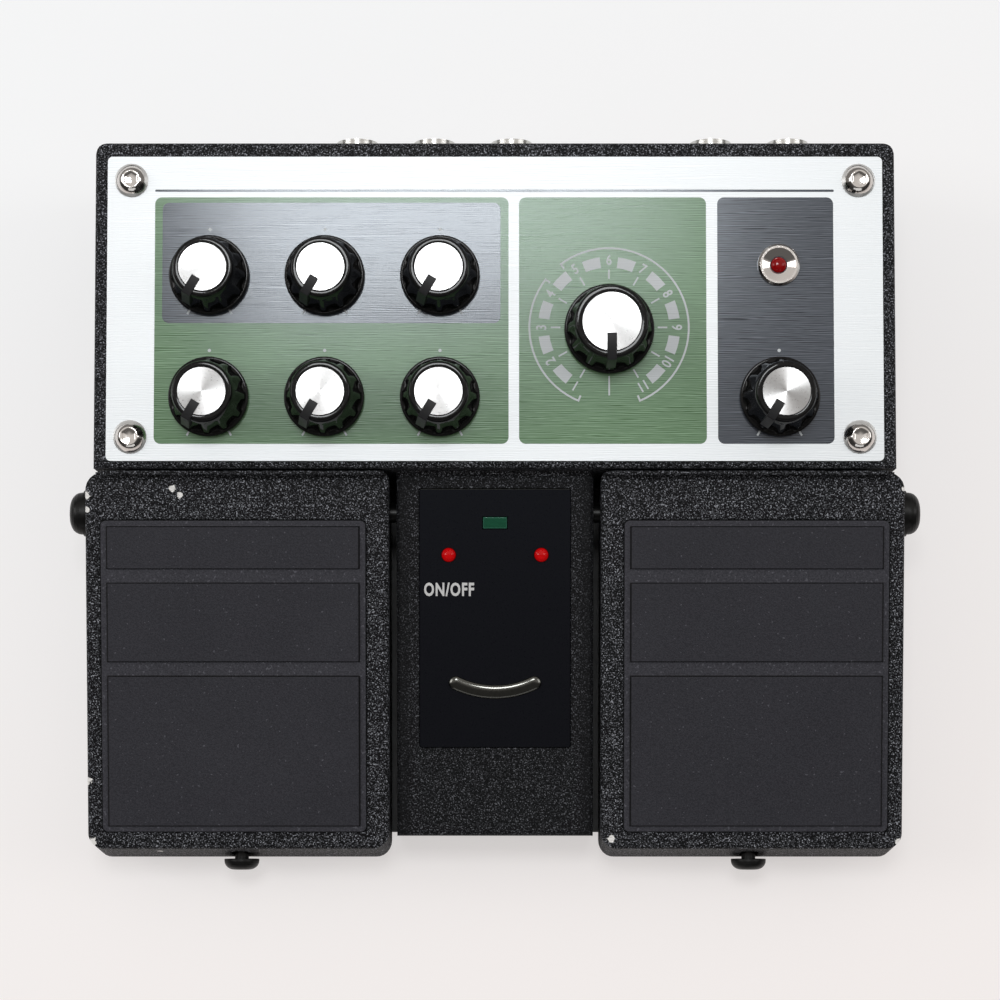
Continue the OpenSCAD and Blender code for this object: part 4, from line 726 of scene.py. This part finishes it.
form = bmesh.new()
socket = [hexagon_r(turn) for turn in SCREW_TURNS]
for axis in [(x, v) for x in (-SCREW_X, SCREW_X) for v in SCREW_VS]:
    loops = [[form.verts.new(plate_point(*axis, SCREW_ROWS[0][1]))]]
    loops += [screw_ring(form, axis, [r] * len(SCREW_TURNS), h) for r, h in SCREW_ROWS]
    loops += [screw_ring(form, axis, socket, h) for h in (SOCKET_TOP, SOCKET_FLOOR)]
    loops.append([form.verts.new(plate_point(*axis, SOCKET_TIP))])
    skin(form, loops)
screws = piece("plate_screw_heads", closed_mesh(form, "plate_screws"), "body", nickel)
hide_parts("plate_screws")


# Peak lamp. A turned and nickel-plated bezel with a hollow cone is pressed through plate and deck. A red
# lamp of moulded epoxy stands in it on the board below.

dress(nickel, "peak_bezel")


def red_lens(node, up, level, glow):
    """Clear red epoxy with swirls in it, with painted shade down its sides and a faint painted glow at its
    crown.
    """
    # Painted glow: the lamp is unlit, and its emission stands in for a deeper red
    material, place = finish(node + "_epoxy", Roughness=0.03, Specular_IOR_Level=0.28,
                             Emission_Strength=glow)
    top = max(corner.co.dot(up) for corner in nodes[node].data.vertices)
    # Painted shade down the dome's sides, darker below the crown
    unshaded_crown = ease(place.along(up), top - 1.1 * MM, top - 0.7 * MM)
    swirl = grain(place, 0.8 * MM, 2.0)
    red = tint(swirl, (level * 0.6, 0.001, 0.002, 1.0), (level, 0.003, 0.004, 1.0))
    feed(material,
         Base_Color=tint(unshaded_crown, (level * 0.12, 0.0, 0.0, 1.0), red),
         Emission_Color=tint(unshaded_crown, (0.15, 0.0, 0.0, 1.0), (1.0, 0.004, 0.006, 1.0)))
    dress(material, node)


red_lens("peak_led", PLATE_UP, 0.3, 0.02)


# Console plate. A satin black plate with a glossy raised ridge, glued into the console's top. Two red lamps
# and a green window look through it, and the left lamp is marked with its switch's two states.

PEDAL_TILT = math.radians(10)
PEDAL_UP = Vector((0, -math.sin(PEDAL_TILT), math.cos(PEDAL_TILT)))
PEDAL_FORWARD = Vector((1, 0, 0)).cross(PEDAL_UP)
SHEET_SIDES, SHEET_ENDS = (-16, 16), (-6.994, 48.006)
SHEET_FOOT, SHEET_TOP = 31.881, 32.881
SHEET_CORNER, SHEET_EDGE = 0.6, 0.14
LAMP_X, LAMP_F, LAMP_HOLE_R = 9.8, 7.006, 1.6
WINDOW_F, WINDOW_W, WINDOW_L = 0.206, 5.4, 2.75
PANE_HALF_W, PANE_HALF_L, PANE_BLUR = 2.35, 1.0, 0.05
SQUARE = ((-1, -1), (1, -1), (1, 1), (-1, 1))


def console_point(x, f, h):
    """A point in the pedals' sloping frame: x aside, f forward and h up from the origin, in mm."""
    return (Vector((x, 0, 0)) + PEDAL_FORWARD * f + PEDAL_UP * h) * MM


satin_black, place = finish("satin_black_plate", Specular_IOR_Level=0.16,
                            Specular_Tint=(0.75, 0.85, 1.0, 1.0))
film_grain = grain(place, 0.25 * MM, 2.0)
rear_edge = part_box("name_plate")[1].y
cut_edge = ease(place.along((0, 1, 0)), rear_edge - 0.35 * MM, rear_edge - 0.2 * MM)
scratch = ease(grain(place, (1.1 * MM, 0.12 * MM, 0.4 * MM), 2.0), 0.74, 0.8)
lacquer = tint(scratch * 0.5 + film_grain * 0.1, grey(0.003, 1.7), grey(0.05))
feed(satin_black,
     Base_Color=tint(cut_edge, lacquer, (0.2, 0.2, 0.185, 1.0)),
     Metallic=cut_edge,
     Roughness=0.24 + film_grain * 0.1,
     Normal=rough_skin(film_grain, 0.008 * MM, 0.3))

window = [(WINDOW_W / 2 * i, WINDOW_F + WINDOW_L / 2 * j) for i, j in SQUARE]
holes = [window] + [dot((side * LAMP_X, LAMP_F), LAMP_HOLE_R, 32) for side in (-1, 1)]
outer = panel(*SHEET_SIDES, *SHEET_ENDS, SHEET_CORNER)
inner = panel(SHEET_SIDES[0] + SHEET_EDGE, SHEET_SIDES[1] - SHEET_EDGE,
              SHEET_ENDS[0] + SHEET_EDGE, SHEET_ENDS[1] - SHEET_EDGE, SHEET_CORNER - SHEET_EDGE)
borders = [[(inner, SHEET_FOOT), (outer, SHEET_FOOT + SHEET_EDGE),
            (outer, SHEET_TOP - SHEET_EDGE), (inner, SHEET_TOP)]]
borders += [[(hole, SHEET_FOOT), (hole, SHEET_TOP)] for hole in holes]
form = bmesh.new()
walls = [[[form.verts.new(console_point(x, f, h)) for x, f in loop] for loop, h in border]
         for border in borders]
for wall in walls:
    skin(form, wall)
for level in (0, -1):
    loops = [wall[level] for wall in walls]
    rims = [form.edges.get((loop[i - 1], loop[i])) for loop in loops for i in range(len(loop))]
    bmesh.ops.triangle_fill(form, use_beauty=True, edges=rims, normal=PEDAL_UP)
sheet = piece("console_sheet", closed_mesh(form, "console_sheet"), "body", satin_black)
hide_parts("name_plate")

ridge_black, place = finish("glossy_ridge", Metallic=1.0)
flow = grain(place, 0.6 * MM, 2.0)
feed(ridge_black,
     Base_Color=tint(flow, (0.1, 0.1, 0.092, 1.0), (0.15, 0.15, 0.138, 1.0)),
     Roughness=0.1 + flow * 0.08,
     Normal=rough_skin(flow, 0.008 * MM, 0.3))

RIDGE_HALF_W, RIDGE_RISE, RIDGE_SUNK = 1.5, 0.75, 0.25
RIDGE_BEND, RIDGE_MIDDLE, RIDGE_REACH = 19.0, 36.1, 26
RIDGE_FULLNESS = 0.8


def ridge_ring(form, turn, share):
    """A ring round the ridge at a turn along its bend, with that share of the full section."""
    def at(aside, h):
        x, f = polar((0, RIDGE_MIDDLE - RIDGE_BEND), RIDGE_BEND + aside * RIDGE_HALF_W * share, turn)
        return form.verts.new(console_point(x, f, SHEET_TOP + h))

    ring = []
    for i in range(15):
        a = math.radians(180 * i / 14)
        aside = math.copysign(abs(math.cos(a)) ** RIDGE_FULLNESS, math.cos(a))
        ring.append(at(aside, RIDGE_RISE * share * math.sin(a) ** RIDGE_FULLNESS))
    return ring + [at(-1, -RIDGE_SUNK), at(1, -RIDGE_SUNK)]


form = bmesh.new()
ends = []
for i in range(1, 6):
    t = math.radians(15 * i)
    ends.append((RIDGE_REACH + math.degrees(RIDGE_HALF_W * math.sin(t) / RIDGE_BEND), math.cos(t)))
stations = ([(-turn, share) for turn, share in ends[::-1]]
            + [(turn, 1.0) for turn in range(-RIDGE_REACH, RIDGE_REACH + 1, 2)] + ends)
loops = [ridge_ring(form, turn, share) for turn, share in stations]
skin(form, loops)
form.faces.new(loops[0])
form.faces.new(loops[-1][::-1])
piece("console_ridge", closed_mesh(form, "console_ridge"), "body", ridge_black)

red_lens("status_leds", PEDAL_UP, 0.55, 0.14)


def soften(node, width):
    """Breaks a node's sharp edges with a narrow round."""
    joined = nodes[node].modifiers.new("joined", "WELD")
    joined.merge_threshold = 0.001 * MM
    edge = nodes[node].modifiers.new("edge", "BEVEL")
    edge.width = width
    edge.segments = 2
    edge.use_clamp_overlap = False
    edge.limit_method = "ANGLE"
    edge.angle_limit = math.radians(50)
    edge.harden_normals = True


green_lens, place = finish("green_window", Roughness=0.2, Specular_IOR_Level=0.3)
haze = grain(place, (2.2 * MM, 0.5 * MM, 0.5 * MM), 2.0)
aside = place.along((1, 0, 0))
ahead = place.along(PEDAL_FORWARD) - WINDOW_F * MM
pane = ((aside, PANE_HALF_W), (ahead, PANE_HALF_L))
past = [ease(far.math("ABSOLUTE", far), (half - PANE_BLUR) * MM, (half + PANE_BLUR) * MM)
        for far, half in pane]
# Painted highlight: the window's rim is a lighter green than its middle
border = past[0] | past[1]
window_green = tint(haze, (0.003, 0.045, 0.022, 1.0), (0.01, 0.1, 0.05, 1.0))
feed(green_lens, Base_Color=tint(border, window_green, (0.03, 0.13, 0.085, 1.0)))
dress(green_lens, "power_lens")
soften("power_lens", 0.3 * MM)

label_ink = moulding("label_ink", grey(0.62), grey(0.8), 0.5, 0.2 * MM)
LABEL_X, LABEL_F, LABEL_SIZE = -9.74, 14.47, 3.8
stand = upright(console_point(LABEL_X, LABEL_F, SHEET_TOP + 0.002), Vector((1, 0, 0)), PEDAL_UP)
label = lettering("lamp_label", "ON/OFF", LABEL_SIZE, stand, narrow=0.7, weight=0.032, spread=1.14)
piece("lamp_label", label, "body", label_ink)


# Pads. Thick moulded rubber sheets glued into the pedals' tops, with three flat panels between shallow
# grooves. Grey dust sits in the grooves and along the border, and painted shade darkens the panels' sides
# and the pad's outer edge.

pad_rubber, place = finish("pad_rubber_moulded", Specular_IOR_Level=0.2)
panel_top = max(corner.co.dot(PEDAL_UP) for corner in nodes["pad_left"].data.vertices)
pores = ease(grain(place, 0.34 * MM, 2.0), 0.3, 0.7)
motes = ease(grain(place, 0.5 * MM, 0.0), 0.79, 0.84)
wear = grain(place, 17 * MM, 4.0)
lint = ease(grain(place, (0.6 * MM, 0.8 * MM, 0.6 * MM), 1.0), 0.64, 0.74)
below = panel_top - place.along(PEDAL_UP)
sunk = ease(below, 0.1 * MM, 0.5 * MM)
# Painted shade: the panels' side walls and the pad's outer edge are darkened
painted_panel_shade = ease(below, 0.02 * MM, 0.07 * MM) * (1 - ease(below, 0.5 * MM, 0.57 * MM))
painted_pad_shade = ease(below, 0.63 * MM, 0.7 * MM)
dust = sunk * (0.09 + pores * 0.12 + lint * 0.6) + lint * 0.05 + wear * 0.12 + pores * 0.17 + motes * 0.7
rubber = tint(dust, grey(0.018, 1.3), grey(0.1, 1.18))
feed(pad_rubber,
     Base_Color=tint((painted_panel_shade | painted_pad_shade) * 0.85, rubber, grey(0.003, 1.1)),
     Roughness=0.5 + pores * 0.12,
     Normal=rough_skin(pores, 0.03 * MM, 0.6))
dress(pad_rubber, "pad_left", "pad_right")
soften("pad_left", 0.3 * MM)
soften("pad_right", 0.3 * MM)


# Pivot and stop screws. Blackened domed steel screws: one with a washer goes through each pedal's outer
# skirt into the casting, and one through a slot in each pedal's front stops the pedal's lift.

black_oxide, place = finish("black_oxide", Metallic=0.7)
haze = grain(place, 1.2 * MM, 3.0)
feed(black_oxide,
     Base_Color=tint(haze, grey(0.006), grey(0.022)),
     Roughness=0.28 + haze * 0.16,
     Normal=rough_skin(haze, 0.01 * MM, 0.3))
dress(black_oxide, "pivot_screws", "pivot_washers", "pivot_pins", "stop_screws")


# Studio. A pale paper floor that takes a soft shadow, a soft light above, a bright rear half of the room and
# a dark front half, and a camera nearly overhead, leaning back from the player's side.

FLOOR = 3.0
floor_mesh = bpy.data.meshes.new("floor")
floor_mesh.from_pydata([(FLOOR * i, FLOOR * j, 0) for i, j in SQUARE], [], [(0, 1, 2, 3)])
floor = bpy.data.objects.new("floor", floor_mesh)
bpy.context.scene.collection.objects.link(floor)
paper, place = finish("studio_paper", Roughness=0.9, Specular_IOR_Level=0.1)
pulp = grain(place, 2.0 * MM, 3.0)
# Painted shade: the paper is tinted warmer and a little darker toward the front, where the object's shadow
# falls
painted_warm_shade = ease(place.along((0.3, -1, 0)), -0.15, 0.15)
PAPER_WHITE, PAPER_GLOW = (0.98, 0.99, 1.0, 1.0), 1.04
paper_tone = tint(painted_warm_shade * 0.96 + pulp * 0.04, PAPER_WHITE, (0.97, 0.925, 0.91, 1.0))
feed(paper, Base_Color=paper_tone)
shaded = Tap(paper.node_tree.nodes["Principled BSDF"].outputs[0])
seen = place.node("LightPath", output="Is Camera Ray")
glow = place.node("Emission", None, {"Color": paper_tone, "Strength": PAPER_GLOW})
far = ease(place.away((0, 0, 0)), 0.4, 1.0)
lit = place.node("MixShader", None, {0: seen * (0.56 + 0.44 * far), 1: shaded, 2: glow})
paper.node_tree.links.new(lit.socket, paper.node_tree.nodes["Material Output"].inputs["Surface"])
floor_mesh.materials.append(paper)
floor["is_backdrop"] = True

world = bpy.data.worlds.new("studio")
bpy.context.scene.world = world
world.use_nodes = True
room = Tap(world.node_tree.nodes.new("ShaderNodeTexCoord").outputs["Generated"])
rear = ease(room.along((0, 1, 0)), -0.24, -0.02)
above = ease(room.along((0, 0, 1)), 0.25, 0.6)
room_light = (0.12 + 0.5 * rear) * (0.3 + 0.7 * above)
background = world.node_tree.nodes["Background"]
background.inputs["Color"].default_value = (1.0, 0.95, 0.91, 1.0)
world.node_tree.links.new(room_light.socket, background.inputs["Strength"])
seen = room.node("LightPath", output="Is Camera Ray")
backdrop = room.node("Background", None, {"Color": PAPER_WHITE, "Strength": PAPER_GLOW})
sight = room.node("MixShader", None, {0: seen, 1: Tap(background.outputs[0]), 2: backdrop})
world.node_tree.links.new(sight.socket, world.node_tree.nodes["World Output"].inputs["Surface"])


def soft_light(name, at, size, watts, colour=(1.0, 1.0, 1.0), aim=(0, 0, 0.03)):
    """A rectangular soft light that looks at the object; places and sizes in metres."""
    lamp = bpy.data.lights.new(name, "AREA")
    lamp.color = colour
    lamp.shape = "RECTANGLE"
    lamp.size, lamp.size_y = size
    lamp.energy = watts
    holder = bpy.data.objects.new(name, lamp)
    holder.location = at
    holder.rotation_euler = (Vector(aim) - Vector(at)).to_track_quat("-Z", "Y").to_euler()
    bpy.context.scene.collection.objects.link(holder)


soft_light("overhead_softbox", (-0.04, 0.215, 1.2), (0.31, 0.22), 3.6, colour=(0.96, 0.985, 1.0))
soft_light("left_softbox", (-0.9, 0.15, 0.7), (0.4, 0.6), 2.4)
soft_light("right_softbox", (0.9, 0.15, 0.7), (0.4, 0.6), 1.6)
soft_light("front_card", (0, -0.9, 0.3), (0.9, 0.25), 0.5)

# The camera that was fitted to the photo: picture width and focal length in pixels, place in mm, lean
PHOTO_PIXELS, FOCAL_PIXELS = 1000, 2500
CAMERA_PLACE, CAMERA_LEAN = Vector((1.057, -64.61, 557.62)), 6.9
camera = bpy.data.cameras.new("camera")
camera.sensor_width = 36
camera.lens = camera.sensor_width * FOCAL_PIXELS / PHOTO_PIXELS
holder = bpy.data.objects.new("camera", camera)
holder.location = CAMERA_PLACE * MM
holder.rotation_euler = (math.radians(CAMERA_LEAN), 0, 0)
bpy.context.scene.collection.objects.link(holder)
bpy.context.scene.camera = holder
bpy.context.scene.view_settings.view_transform = "Standard"

low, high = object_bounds()
